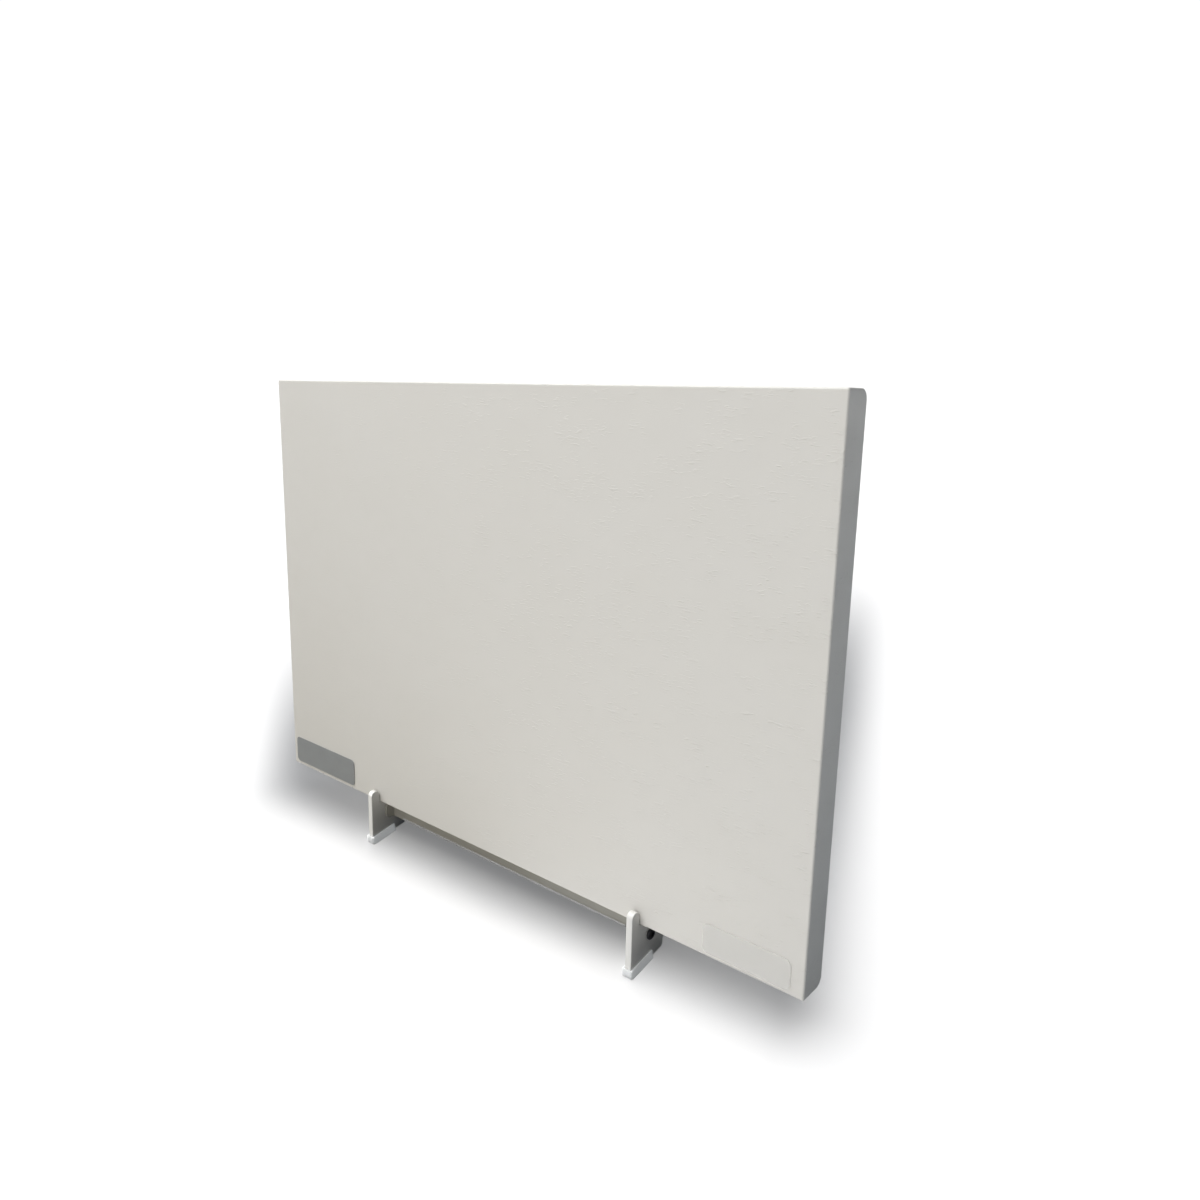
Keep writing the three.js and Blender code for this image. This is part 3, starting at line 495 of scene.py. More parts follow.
def edge_steps(radius, steps=4):
    """Inset and rise along a rounded edge, from the side of a plate to its face."""
    turns = [quarter * step / steps for step in range(steps + 1)]
    return [(radius * (1 - math.cos(turn)), radius * math.sin(turn)) for turn in turns]


def lofted(shell, rings):
    """Closed skin through a list of rings, with a flat face at each end."""
    rows = [[shell.verts.new(point) for point in ring] for ring in rings]
    for one, two in zip(rows, rows[1:]):
        joined(shell, one, two)
    shell.faces.new(rows[0])
    shell.faces.new(list(reversed(rows[-1])))
    return shell


def plate_rings(width, height, corner, front, back, front_edge, back_edge, middle):
    """Rings of a flat plate with rounded edges round its front and its back face."""
    low = [(inset, front + front_edge - rise) for inset, rise in reversed(edge_steps(front_edge))]
    high = [(inset, back - back_edge + rise) for inset, rise in edge_steps(back_edge)]
    return [plate_ring(width - 2 * inset, height - 2 * inset, corner - inset, level, middle)
            for inset, level in low + high]


zinc = Finish("galvanised_sheet", zinc_grey, roughness=0.42, metallic=1)
spangle = zinc.node("ShaderNodeTexVoronoi")
spangle.inputs["Scale"].default_value = 1
zinc.links.new(zinc.stretched((spangles, spangles, spangles)), spangle.inputs["Vector"])
bright = zinc.node("ShaderNodeSeparateColor")
zinc.links.new(spangle.outputs["Color"], bright.inputs[0])
zinc.mottle(zinc.ramp(bright.outputs[0], 0, 1), zinc_dark, zinc_bright)
zinc.gloss(bright.outputs[1], *zinc_sheen)
zinc.relief(zinc.noise(rolling_size), rolling_depth)

cover_level = panel_height / 2
cover = lofted(bmesh.new(), plate_rings(
    panel_width - 2 * cover_margin, panel_height - 2 * cover_margin, cover_corner,
    panel_depth - cover_sheet, panel_depth, cover_edge, cover_edge, (0, cover_level)))
fitted("galvanised_rear_cover", cover, zinc, panel_place, "panel", "zinc_sheet", "rear_cover")


# Pan head screws with a cross recess, zinc plated: ten short ones through the cover, four longer ones in
# the lid of the terminal box.
screw_sides = 40
screw_inset = 0.012
row_shares = (-1, -1 / 3, 1 / 3, 1)
recess_width, recess_span, recess_depth = 0.0009, 0.0036, 0.0012
crown_steps = 6
rim_share = 0.35
tip_taper, tip_length = 0.0006, 0.0012
head_break = 0.0002
cover_screw_head, cover_screw_height, cover_screw_shank, cover_screw_length = 0.0064, 0.0019, 0.0029, 0.0045
screw_turn = 0.7
plating_grey = (0.60, 0.60, 0.61)
plating_grain, plating_depth, plating_patch, plating_sheen = 0.0012, 0.00002, 0.002, (0.28, 0.42)


def turned(profile, sides):
    """Skin of a turned piece along +Y, from pairs of radius and level that start and end on its axis."""
    shell = bmesh.new()
    rows = []
    for radius, level in profile:
        if radius == 0:
            rows.append([shell.verts.new((0, level, 0))])
            continue
        turns = [2 * math.pi * side / sides for side in range(sides)]
        rows.append([shell.verts.new((radius * math.cos(t), level, radius * math.sin(t))) for t in turns])
    for one, two in zip(rows, rows[1:]):
        if len(one) == len(two):
            joined(shell, one, two)
            continue
        for j in range(sides):
            k = (j + 1) % sides
            shell.faces.new((one[0], two[k], two[j]) if len(one) == 1 else (one[j], one[k], two[0]))
    return shell


def carved(shell, tools, operation="DIFFERENCE"):
    """Shell with other closed shells cut out of it, joined to it or kept in common."""
    objects = []
    for index, part in enumerate([shell, *tools]):
        mesh = bpy.data.meshes.new(f"blank_{index}")
        bmesh.ops.recalc_face_normals(part, faces=part.faces)
        part.to_mesh(mesh)
        part.free()
        objects.append(placed(f"blank_{index}", mesh))
    for tool in objects[1:]:
        step = objects[0].modifiers.new("carve", "BOOLEAN")
        step.operation = operation
        step.solver = "EXACT"
        step.object = tool
    graph = bpy.context.evaluated_depsgraph_get()
    result = bmesh.new()
    result.from_mesh(bpy.data.meshes.new_from_object(objects[0].evaluated_get(graph)))
    for blank in objects:
        bpy.data.objects.remove(blank)
    return result


def block(x0, x1, y0, y1, z0, z1):
    """Plain block used as a cutting tool."""
    shell = bmesh.new()
    bmesh.ops.create_cube(shell, size=1)
    for vert in shell.verts:
        vert.co = ((x0 + x1) / 2 + vert.co.x * (x1 - x0), (y0 + y1) / 2 + vert.co.y * (y1 - y0),
                   (z0 + z1) / 2 + vert.co.z * (z1 - z0))
    return shell


def pan_head(name, head, height, shank, length, scale=1):
    """Mesh of a screw along -Y with its head towards +Y and its seat at the origin."""
    crown = [(head / 2 * math.cos(t), height * rim_share + height * (1 - rim_share) * math.sin(t))
             for t in (quarter * step / crown_steps for step in range(crown_steps))]
    profile = [(0, -length), (shank / 2 - tip_taper, -length), (shank / 2, -length + tip_length),
               (shank / 2, 0), (head / 2 - head_break, 0), (head / 2, head_break)] + crown + [(0, height)]
    span, width, floor = recess_span / 2 * scale, recess_width / 2, height - recess_depth * scale
    body = carved(turned(profile, screw_sides), [
        block(-span, span, floor, height * 2, -width, width),
        block(-width, width, floor, height * 2, -span, span)])
    return smoothed(body, name)


steel = Finish("zinc_plated_steel", plating_grey, roughness=0.32, metallic=1)
steel.relief(steel.noise(plating_grain), plating_depth)
steel.gloss(steel.noise(plating_patch), *plating_sheen)

cover_screw = pan_head("cover_screw", cover_screw_head, cover_screw_height, cover_screw_shank,
                       cover_screw_length)
reach = panel_width / 2 - screw_inset
screw_places = [(share * reach, z) for z in (screw_inset, panel_height - screw_inset) for share in row_shares]
screw_places += [(-reach, panel_height / 2), (reach, panel_height / 2)]
for index, (x, z) in enumerate(screw_places):
    turn = Matrix.Rotation(screw_turn * index, 4, "Y")
    seat = panel_place @ Matrix.Translation((x, panel_depth + clearance, z)) @ turn
    fitted(f"cover_pan_head_{index + 1}", cover_screw, steel, seat, "panel", "zinc_screw",
           f"cover_screw_{index + 1}")


# Label: a blank strip of silver film with rounded corners, stuck low on the left of the face. On the
# right sits a blank clear sticker, die cut, that shows only by its gloss and its edge.
film = 0.0003
film_edge = 0.0001
label_width, label_height, label_corner = 0.100, 0.0265, 0.004
label_inset, label_rise = 0.006, 0.004
sticker_width, sticker_height, sticker_corner = 0.070, 0.023, 0.005
sticker_inset, sticker_rise = 0.0105, 0.003
silver_grey, silver_dark, silver_bright = (0.285, 0.298, 0.31), (0.262, 0.275, 0.288), (0.305, 0.32, 0.332)
silver_grain, silver_depth, silver_patch = (0.0016, 0.0016, 0.0012), 0.000012, (0.02, 0.02, 0.008)
clear_tint, clear_cover = (0.80, 0.79, 0.76), 0.35
clear_grain, clear_depth = (0.004, 0.004, 0.003), 0.00003


def film_piece(side, width, height, corner, inset, rise):
    """Flat film with rounded corners on the face, set in from its left or its right side."""
    middle = (side * (panel_width / 2 - inset - width / 2), rise + height / 2)
    return lofted(bmesh.new(), plate_rings(width, height, corner, -clearance - film, -clearance,
                                           film_edge, film_edge, middle))


silver = Finish("silver_label_film", silver_grey, roughness=0.42, metallic=0.35)
silver.relief(silver.noise(silver_grain), silver_depth)
silver.mottle(silver.noise(silver_patch), silver_dark, silver_bright)
label = film_piece(-1, label_width, label_height, label_corner, label_inset, label_rise)
fitted("silver_label", label, silver, panel_place, "panel", "label_silver", "label_plate")

clear = Finish("clear_sticker_film", clear_tint, roughness=0.12)
clear.shader.inputs["Alpha"].default_value = clear_cover
clear.relief(clear.noise(clear_grain), clear_depth)
sticker = film_piece(1, sticker_width, sticker_height, sticker_corner, sticker_inset, sticker_rise)
fitted("clear_sticker", sticker, clear, panel_place, "panel", "clear_film", "corner_sticker")


# Foot plates: cut from 6 mm steel and coated white. Each has a finger in front of the panel, a notch that
# the panel stands in, an upright behind it, a curved brace and a low arch between toe and heel.
stand_span, stand_shift = 0.317, 0.0025
foot_sheet = 0.006
foot_edge = 0.0007
foot_depth = 0.160
finger_width, finger_rise, finger_gap = 0.0093, 0.0123, 0.0009
upright_width, upright_rise, upright_blend = 0.015, 0.130, 0.040
sole_end, heel_sole, heel_rise, heel_round, toe_round = 0.0234, 0.034, 0.012, 0.004, 0.004
arch_wall, arch_rise, arch_round = 0.0066, 0.015, 0.003
shoe_wall = 0.0012
round_steps = 18
edge_cuts = 3
corner_limit = 0.5
foot_white, foot_shade, foot_bright = (0.65, 0.64, 0.61), (0.63, 0.62, 0.59), (0.66, 0.65, 0.62)
foot_grain, foot_relief, foot_patch = 0.0011, 0.00003, 0.03

lean_sin, lean_cos = math.sin(panel_lean), math.cos(panel_lean)
sole = shoe_wall + clearance
finger_front = -finger_gap - finger_width
foot_places = {side: panel_origin.x + stand_shift + sign * stand_span / 2
               for side, sign in (("left", -1), ("right", 1))}


def leaned(y, z):
    """A place in the panel's own depth and height, in the world's Y and Z."""
    place = panel_place @ Vector((0, y, z))
    return place.y, place.z


def leaning_line(y, z):
    """Where a line along the panel, at a depth y, meets the height z."""
    return panel_origin.y + (y + (z - panel_origin.z) * lean_sin) / lean_cos


def swept(one, middle, two, steps):
    shares = [step / steps for step in range(steps + 1)]
    return [tuple((1 - s) ** 2 * a + 2 * s * (1 - s) * b + s * s * c for a, b, c in zip(one, middle, two))
            for s in shares]


toe = leaning_line(finger_front, sole)
shoe_toe = leaning_line(finger_front - clearance - shoe_wall, 0)
heel = shoe_toe + foot_depth - shoe_wall - clearance


def foot_outline():
    slope = math.tan(panel_lean)
    upright_front = panel_depth + clearance
    half, finger_half = upright_width / 2, finger_width / 2
    arch_front = panel_origin.y + sole_end + arch_wall * slope
    arch_back = heel - heel_sole - arch_wall * slope
    ceiling = sole + arch_wall
    toe_top = sole + toe_round
    blend_foot = leaned(upright_front + upright_width, 0)
    blend_top = leaned(upright_front + upright_width, upright_rise - upright_blend)
    arch_top = ((arch_front + arch_back) / 2, ceiling + 2 * (arch_rise - arch_wall))
    front_end, back_end, rise = panel_origin.y + sole_end, heel - heel_sole, sole + arch_round
    return (swept((front_end - arch_round, sole), (front_end, sole), (front_end + arch_round * slope, rise),
                  round_steps // 3)
            + swept((arch_front, ceiling), arch_top, (arch_back, ceiling), round_steps)
            + swept((back_end - arch_round * slope, rise), (back_end, sole), (back_end + arch_round, sole),
                    round_steps // 3)
            + arc((heel - heel_round, sole + heel_round), heel_round, -quarter, 0, round_steps // 2)
            + swept((heel, heel_rise), blend_foot, blend_top, round_steps)
            + arc(leaned(upright_front + half, upright_rise - half), half,
                  -panel_lean, math.pi - panel_lean, round_steps)
            + [leaned(upright_front, -clearance), leaned(-finger_gap, -clearance)]
            + arc(leaned(finger_front + finger_half, finger_rise - finger_half), finger_half,
                  -panel_lean, math.pi - panel_lean, round_steps)
            + swept((leaning_line(finger_front, toe_top), toe_top), (toe, sole), (toe + toe_round, sole),
                    round_steps // 2))


def drawn_in(outline, inset):
    """Outline in Y and Z, anticlockwise, with every corner moved inwards along its bisector."""
    corners = []
    for before, here, after in zip(outline[-1:] + outline[:-1], outline, outline[1:] + outline[:1]):
        one = (Vector(here) - Vector(before)).normalized()
        two = (Vector(after) - Vector(here)).normalized()
        bisector = Vector((-one.y - two.y, one.x + two.x)).normalized()
        reach = inset / max(corner_limit, bisector.dot(Vector((-one.y, one.x))))
        corners.append((here[0] + bisector.x * reach, here[1] + bisector.y * reach))
    return corners


def plate_along_x(outline, thickness, edge, cuts):
    """Flat plate of an outline in Y and Z, around x = 0, with its two faces' edges rounded."""
    levels = [(inset, edge - rise - thickness / 2) for inset, rise in reversed(edge_steps(edge, cuts))]
    levels += [(inset, -x) for inset, x in reversed(levels)]
    return lofted(bmesh.new(), [[(x, y, z) for y, z in drawn_in(outline, inset)] for inset, x in levels])


gloss_white = Finish("smooth_white_coat", foot_white, roughness=0.3)
gloss_white.relief(gloss_white.noise(foot_grain), foot_relief)
gloss_white.mottle(gloss_white.noise(foot_patch), foot_shade, foot_bright)

foot_mesh = smoothed(plate_along_x(foot_outline(), foot_sheet, foot_edge, edge_cuts), "foot_plate")
feet = []
for side, x in foot_places.items():
    feet.append(fitted(f"{side}_foot_plate", foot_mesh, gloss_white, Matrix.Translation((x, 0, 0)),
                       "stand", "foot_white", f"{side}_foot"))


# Shoes: clear silicone channels pushed over the toe and the heel of each foot plate, so that the steel
# doesn't touch the floor.
shoe_length, shoe_height, shoe_round = 0.029, 0.0084, 0.0045
shoe_edge, shoe_edge_angle = 0.0005, math.radians(50)
silicone_tint, silicone_bend, silicone_clarity = (0.95, 0.965, 0.965), 1.41, 0.08
# The silicone's faint emission is painted glow: it stands in for light scattered through the clear rubber.
silicone_depth, silicone_painted_glow, silicone_painted_glow_tint = 0.012, 0.125, (0.95, 0.98, 1, 1)
silicone_grain, silicone_relief = 0.002, 0.00004


def shoe_path(tip, tail, slope, floor_level, top, bend):
    """Floor line and front of a shoe, from its tail round its tip to its top."""
    away = math.copysign(1, tail - tip)
    start, end = (tip + away * bend, floor_level), (tip + slope * bend, floor_level + bend)
    return [(tail, floor_level)] + swept(start, (tip, floor_level), end, round_steps // 2) + [
        (tip + slope * (top - floor_level), top)]


def shoe_shell(tip, away, slope):
    tail = tip + away * shoe_length
    inner_half = foot_sheet / 2 + clearance
    outer_half = inner_half + shoe_wall
    outer = shoe_path(tip, tail, slope, 0, shoe_height, shoe_round)
    inner_tip = tip + (away + slope) * shoe_wall
    inner = shoe_path(inner_tip, tail, slope, shoe_wall, shoe_height, shoe_round - shoe_wall)
    shell = bmesh.new()
    rows = {}
    for name, path, half in (("out", outer, outer_half), ("in", inner, inner_half)):
        for sign in (-1, 1):
            rows[name, sign] = [shell.verts.new((sign * half, y, z)) for y, z in path]
            rows[name, sign].append(shell.verts.new((sign * half, tail, shoe_height)))
            shell.faces.new(rows[name, sign])
        for j in range(len(path) - 1):
            low, high = rows[name, -1], rows[name, 1]
            shell.faces.new((low[j], low[j + 1], high[j + 1], high[j]))
    walls = [rows[key] for key in (("out", 1), ("in", 1), ("in", -1), ("out", -1))]
    for start in (-2, 0):
        ends = [(wall[start], wall[-1])[::(-1) ** turn] for turn, wall in enumerate(walls)]
        shell.faces.new([corner for pair in ends for corner in pair])
    bmesh.ops.recalc_face_normals(shell, faces=shell.faces)
    sharp = [edge for edge in shell.edges if edge.calc_face_angle(0) > shoe_edge_angle]
    bmesh.ops.bevel(shell, geom=sharp, offset=shoe_edge, segments=2, profile=0.5, affect="EDGES")
    return shell


silicone = Finish("clear_silicone", silicone_tint, roughness=0.2)
for socket, value in (
        ("IOR", silicone_bend), ("Transmission Weight", silicone_clarity), ("Subsurface Weight", 1),
        ("Subsurface Radius", (1, 1, 1)), ("Subsurface Scale", silicone_depth),
        ("Emission Color", silicone_painted_glow_tint), ("Emission Strength", silicone_painted_glow)):
    silicone.shader.inputs[socket].default_value = value
silicone.relief(silicone.noise(silicone_grain), silicone_relief)

toe_shoe = smoothed(shoe_shell(shoe_toe, 1, math.tan(panel_lean)), "toe_shoe")
heel_shoe = smoothed(shoe_shell(heel + clearance + shoe_wall, -1, 0), "heel_shoe")
for side, x in foot_places.items():
    for place, mesh in (("toe", toe_shoe), ("heel", heel_shoe)):
        feet.append(fitted(f"{side}_{place}_silicone", mesh, silicone, Matrix.Translation((x, 0, 0)),
                           "stand", "clear_silicone", f"{side}_{place}_shoe"))


# Cross rail: a folded angle of painted sheet that ties the feet together under the panel, with a hemmed lip
# along its lower edge whose lighter grey is a painted highlight, and a plate welded on each end.
rail_sheet, rail_setback, rail_top, rail_drop = 0.0015, 0.0135, 0.0033, 0.0181
rail_flange, rail_bend, rail_lip, rail_lip_sheet, rail_lip_cutback = 0.025, 0.0022, 0.001, 0.0022, 0.018
rail_plate, rail_plate_nose, rail_plate_corner = 0.003, 0.009, 0.004
rail_plate_cuts = 2
rail_grey, rail_dark, rail_bright = (0.33, 0.32, 0.29), (0.315, 0.305, 0.272), (0.345, 0.335, 0.302)
rail_brush, rail_brush_depth, rail_patch = (0.004, 0.0009, 0.0009), 0.00003, (0.03, 0.01, 0.01)
lip_highlight_grey, lip_brush, lip_brush_depth = (0.47, 0.475, 0.475), (0.006, 0.0007, 0.0007), 0.00002
rail_reach = stand_span / 2 - foot_sheet / 2 - clearance
rail_back = rail_setback + rail_flange


def bar_along_x(outline, x0, x1):
    """Straight bar of an outline in the panel's depth and height."""
    return lofted(bmesh.new(), [[(x, y, z) for y, z in outline] for x in (x0, x1)])


def angle_outline():
    bend, thin = rail_bend, rail_bend - rail_sheet
    low, top = -rail_drop, -rail_top
    centre = (rail_setback + bend, top - bend)
    outer = arc(centre, bend, math.pi, quarter, bend_steps)
    inner = arc(centre, thin, quarter, math.pi, bend_steps)
    return ([(rail_setback, low)] + outer + [(rail_back, top), (rail_back, top - rail_sheet)]
            + inner + [(rail_setback + rail_sheet, low)])


def lip_outline():
    low = -rail_drop
    half = rail_lip_sheet / 2
    nose = rail_setback - rail_lip + half
    back = rail_setback + rail_sheet / 2
    return (arc((nose, low + half), half, quarter, 3 * quarter, bend_steps)
            + [(back, low), (back, low + rail_lip_sheet)])


def end_plate(sign):
    nose, corner = rail_setback - rail_plate_nose, rail_plate_corner
    low, top = -rail_drop, -rail_top
    outline = (arc((nose + corner, low + corner), corner, 2 * quarter, 3 * quarter, bend_steps)
               + arc((rail_back - corner, low + corner), corner, 3 * quarter, 4 * quarter, bend_steps)
               + arc((rail_back - corner, top - corner), corner, 0, quarter, bend_steps)
               + arc((nose + corner, top - corner), corner, quarter, 2 * quarter, bend_steps))
    plate = plate_along_x(outline, rail_plate, foot_edge / 2, rail_plate_cuts)
    bmesh.ops.translate(plate, verts=plate.verts, vec=(sign * (rail_reach - rail_plate / 2), 0, 0))
    return plate


rail_paint = Finish("beige_grey_paint", rail_grey, roughness=0.36, metallic=0.15)
rail_paint.relief(rail_paint.noise(rail_brush), rail_brush_depth)
rail_paint.mottle(rail_paint.noise(rail_patch), rail_dark, rail_bright)
rail_place = Matrix.Translation((panel_origin.x + stand_shift, 0, 0)) @ panel_place
rail = carved(bar_along_x(angle_outline(), -rail_reach, rail_reach), [
    bar_along_x(lip_outline(), rail_lip_cutback - rail_reach, rail_reach - rail_lip_cutback),
    end_plate(-1), end_plate(1)], "UNION")
rail_piece = fitted("folded_cross_rail", rail, rail_paint, rail_place, "stand", "rail_grey", "cross_rail")
# The lip's lighter grey is a painted highlight along the hem's edge.
lip_highlight_finish = Finish("lip_painted_highlight", lip_highlight_grey, roughness=0.38, metallic=0.2)
lip_highlight_finish.relief(lip_highlight_finish.noise(lip_brush), lip_brush_depth)
rail_piece.data.materials.append(lip_highlight_finish.material)
for face in rail_piece.data.polygons:
    x, y, z = rail_place.inverted() @ face.center
    at_end = abs(x) > rail_reach - rail_lip_cutback
    if y < rail_setback - clearance and z < rail_lip_sheet - rail_drop and not at_end:
        face.material_index = 1


# Bolts: button head bolts of blackened steel with a hexagon socket, two through each foot plate into the
# plate on the rail's end.
bolt_head, bolt_height, bolt_shank, bolt_grip = 0.0095, 0.0027, 0.005, 0.0024
bolt_socket, bolt_socket_depth = 0.0036, 0.0017
bolt_rim_share, bolt_dome_share, bolt_dome_steps, bolt_break = 0.32, 0.78, 8, 0.0003
bolt_drop = 0.0127
bolt_places = {"front": (0.0126, -bolt_drop), "rear": (0.032, -bolt_drop)}
oxide_black, oxide_patch, oxide_sheen = (0.034, 0.034, 0.037), 0.0015, (0.27, 0.4)
across_corners = 1 / math.cos(math.pi / 6)


def hexagon(across_flats, y0, y1):
    """Hexagonal bar along Y."""
    radius = across_flats / 2 * across_corners
    turns = [math.pi / 3 * side for side in range(6)]
    return lofted(bmesh.new(), [[(radius * math.cos(t), y, radius * math.sin(t)) for t in turns]
                                for y in (y0, y1)])


def button_head():
    rim = bolt_height * bolt_rim_share
    turns = [quarter * bolt_dome_share * step / bolt_dome_steps for step in range(bolt_dome_steps + 1)]
    dome = [(bolt_head / 2 * math.cos(turn), rim + (bolt_height - rim) * math.sin(turn)) for turn in turns]
    length = foot_sheet + clearance + bolt_grip
    profile = [(0, -length), (bolt_shank / 2, -length), (bolt_shank / 2, 0), (bolt_head / 2 - bolt_break, 0),
               (bolt_head / 2, bolt_break)] + dome + [(0, dome[-1][1])]
    return smoothed(carved(turned(profile, screw_sides), [
        hexagon(bolt_socket, bolt_height - bolt_socket_depth, 2 * bolt_height)]), "button_bolt")


blacking = Finish("black_oxide_steel", oxide_black, roughness=0.33, metallic=0.6)
blacking.gloss(blacking.noise(oxide_patch), *oxide_sheen)
bolt_mesh = button_head()
for side, sign in (("left", -1), ("right", 1)):
    for place, (back, rise) in bolt_places.items():
        y, z = leaned(back, rise)
        seat = Matrix.Translation((foot_places[side] + sign * (foot_sheet / 2 + clearance), y, z))
        turn = Matrix.Rotation(-sign * quarter, 4, "Z")
        fitted(f"{side}_{place}_button_bolt", bolt_mesh, blacking, seat @ turn,
               "stand", "black_bolt", f"{side}_{place}_bolt")


# Light of the feet: a soft window low in front on the left, for the foot plates and shoes alone, in place
# of the key light, so that their fronts are bright and their right sides stay dark.
feet_place, feet_aim = Vector((-0.85, -0.85, 0.45)), Vector((0, -0.05, 0.03))
feet_size, feet_power = 0.4, 7.0
feet_colour = (1, 1, 1)

feet_light = window_light("feet_light", feet_place, feet_aim, feet_size, feet_power, feet_colour)
kept_to(feet_light, linked("feet_alone", "INCLUDE", *feet), unseen_gauze)
kept_to(key_light, linked("unlit_feet", "EXCLUDE", floor, *feet), unseen_gauze)


# Terminal box: a small tray moulded in white plastic, low at the middle of the rear cover. Its lid sits in
# the rim and is held by four screws in counterbores.
box_width, box_height, box_depth = 0.084, 0.058, 0.019
box_wall, box_corner, box_level = 0.002, 0.005, 0.074
box_edge = 0.0006
box_rim_edge, lid_lower_edge = box_edge / 4, box_edge / 3
lid_sheet, lid_rebate, lid_edge = 0.0026, 0.0012, 0.001
lid_crown_inset = lid_edge * 1.4
boss_inset = 0.0075
gland_hole = 0.0126
lid_screw_head, lid_screw_height, lid_screw_shank, lid_screw_length = 0.005, 0.002, 0.0025, 0.009
lid_recess_share, lid_screw_turn = 0.78, 1.1
well_radius, well_mouth, well_break_depth, well_break_rise = 0.0028, 0.0032, 0.0003, 0.0001
plastic_white, plastic_shade, plastic_bright = (0.76, 0.76, 0.745), (0.74, 0.74, 0.725), (0.78, 0.78, 0.765)
plastic_grain, plastic_relief, plastic_patch = 0.0007, 0.00002, 0.02
box_front = panel_depth + clearance
box_back = box_front + box_depth
box_middle = (0, box_level)


def round_bar(diameter, start, end):
    """Plain round bar along Y."""
    return turned([(0, start), (diameter / 2, start), (diameter / 2, end), (0, end)], screw_sides)


gland_axis = (Matrix.Translation((0, (box_front + box_back) / 2, box_level))
              @ Matrix.Rotation(-quarter, 4, "Z"))
gland_way = round_bar(gland_hole, box_width / 2 - 2 * box_wall, box_width / 2 + box_wall)
bmesh.ops.transform(gland_way, matrix=gland_axis, verts=gland_way.verts)
tray_rings = plate_rings(box_width, box_height, box_corner, box_front, box_back,
                         box_edge, box_rim_edge, box_middle)
tray_rings += [plate_ring(box_width - 2 * box_wall, box_height - 2 * box_wall, box_corner - box_wall,
                          level, box_middle) for level in (box_back, box_front + box_wall)]
tray = carved(lofted(bmesh.new(), tray_rings), [gland_way])

moulded = Finish("moulded_white_plastic", plastic_white, roughness=0.42)
moulded.relief(moulded.noise(plastic_grain), plastic_relief)
moulded.mottle(moulded.noise(plastic_patch), plastic_shade, plastic_bright)
fitted("moulded_terminal_box", tray, moulded, panel_place, "panel", "white_plastic", "terminal_box")

lid_front = box_back + clearance
lid_top = lid_front + lid_sheet + lid_edge / 2
lid_steps = ((lid_edge, lid_front + lid_sheet), (lid_edge, lid_top - box_edge / 2),
             (lid_crown_inset, lid_top))
lid_rings = (
    [plate_ring(box_width - 2 * (box_wall + clearance), box_height - 2 * (box_wall + clearance),
                box_corner - box_wall - clearance, level, box_middle)
     for level in (lid_front - lid_rebate, lid_front)]
    + plate_rings(box_width, box_height, box_corner, lid_front, lid_front + lid_sheet, lid_lower_edge,
                  box_edge, box_middle)
    + [plate_ring(box_width - 2 * inset, box_height - 2 * inset, box_corner - inset, level, box_middle)
       for inset, level in lid_steps])
lid_screw_seat = lid_top - lid_screw_height + clearance
boss_places = [(sx * (box_width / 2 - boss_inset), box_level + sz * (box_height / 2 - boss_inset))
               for sx, sz in ((-1, -1), (1, -1), (-1, 1), (1, 1))]


def lid_well(x, z):
    """Counterbore of a lid screw."""
    floor_level, over = lid_screw_seat - clearance, lid_top + lid_screw_height
    shell = turned([(0, floor_level), (well_radius, floor_level), (well_radius, lid_top - well_break_depth),
                    (well_mouth, lid_top + well_break_rise), (well_mouth, over), (0, over)], screw_sides)
    bmesh.ops.translate(shell, verts=shell.verts, vec=(x, 0, z))
    return shell


lid = carved(lofted(bmesh.new(), lid_rings), [lid_well(x, z) for x, z in boss_places])
fitted("moulded_lid", lid, moulded, panel_place, "panel", "white_plastic", "terminal_box_lid")

lid_screw = pan_head("lid_screw", lid_screw_head, lid_screw_height, lid_screw_shank, lid_screw_length,
                     lid_recess_share)
for index, (x, z) in enumerate(boss_places):
    turn = Matrix.Rotation(lid_screw_turn * index, 4, "Y")
    fitted(f"lid_pan_head_{index + 1}", lid_screw, steel,
           panel_place @ Matrix.Translation((x, lid_screw_seat, z)) @ turn, "panel", "zinc_screw",
           f"lid_screw_{index + 1}")


# Cable gland in the right wall of the terminal box: a threaded body with its hexagon, a sealing ring under
# it and a dome nut that turns onto the thread. Its bore is open from end to end.
gland_thread, gland_bore, gland_hex = 0.012, 0.0066, 0.015
gland_hex_height, gland_nut_height, gland_nut_round = 0.0045, 0.010, 0.003
gland_seal, gland_seal_edge, gland_stub = 0.0012, 0.0015, 0.006
gland_locknut = 0.003
gland_lead_in = 0.0004
gland_angle = 30
nylon_black, nylon_grain, nylon_relief = (0.022, 0.022, 0.024), 0.0008, 0.00003
nylon_patch, nylon_sheen = 0.003, (0.36, 0.5)
rubber_black, rubber_grain, rubber_relief = (0.014, 0.014, 0.015), 0.001, 0.00004
gland_start = box_width / 2 + clearance
gland_seat = gland_start + gland_seal + clearance
nut_start = gland_seat + gland_hex_height + clearance
thread_tip = box_width / 2 - box_wall - clearance - gland_locknut - clearance
thread_end = gland_seat + gland_hex_height + gland_stub
gland_place = panel_place @ gland_axis @ Matrix.Rotation(math.pi / 6, 4, "Y")


def hex_with_dome(across_flats, start, end, bend, bore):
    """Hexagon whose corners are turned down to a dome at its outer end, with a bore through it."""
    radius = across_flats / 2 * across_corners
    dome = arc((radius - bend, end - bend), bend, 0, quarter, bend_steps)
    turned_blank = turned([(0, start), (radius - gland_lead_in, start), (radius, start + gland_lead_in)]
                          + dome + [(0, end)], 2 * screw_sides)
    hexed = carved(hexagon(across_flats, start, end), [turned_blank], "INTERSECT")
    mouth = bore / 2 + gland_lead_in
    hole = turned([(0, start - bend), (bore / 2, start - bend), (bore / 2, end - gland_lead_in),
                   (mouth, end + gland_lead_in / 4), (mouth, end + bend), (0, end + bend)], screw_sides)
    return carved(hexed, [hole])


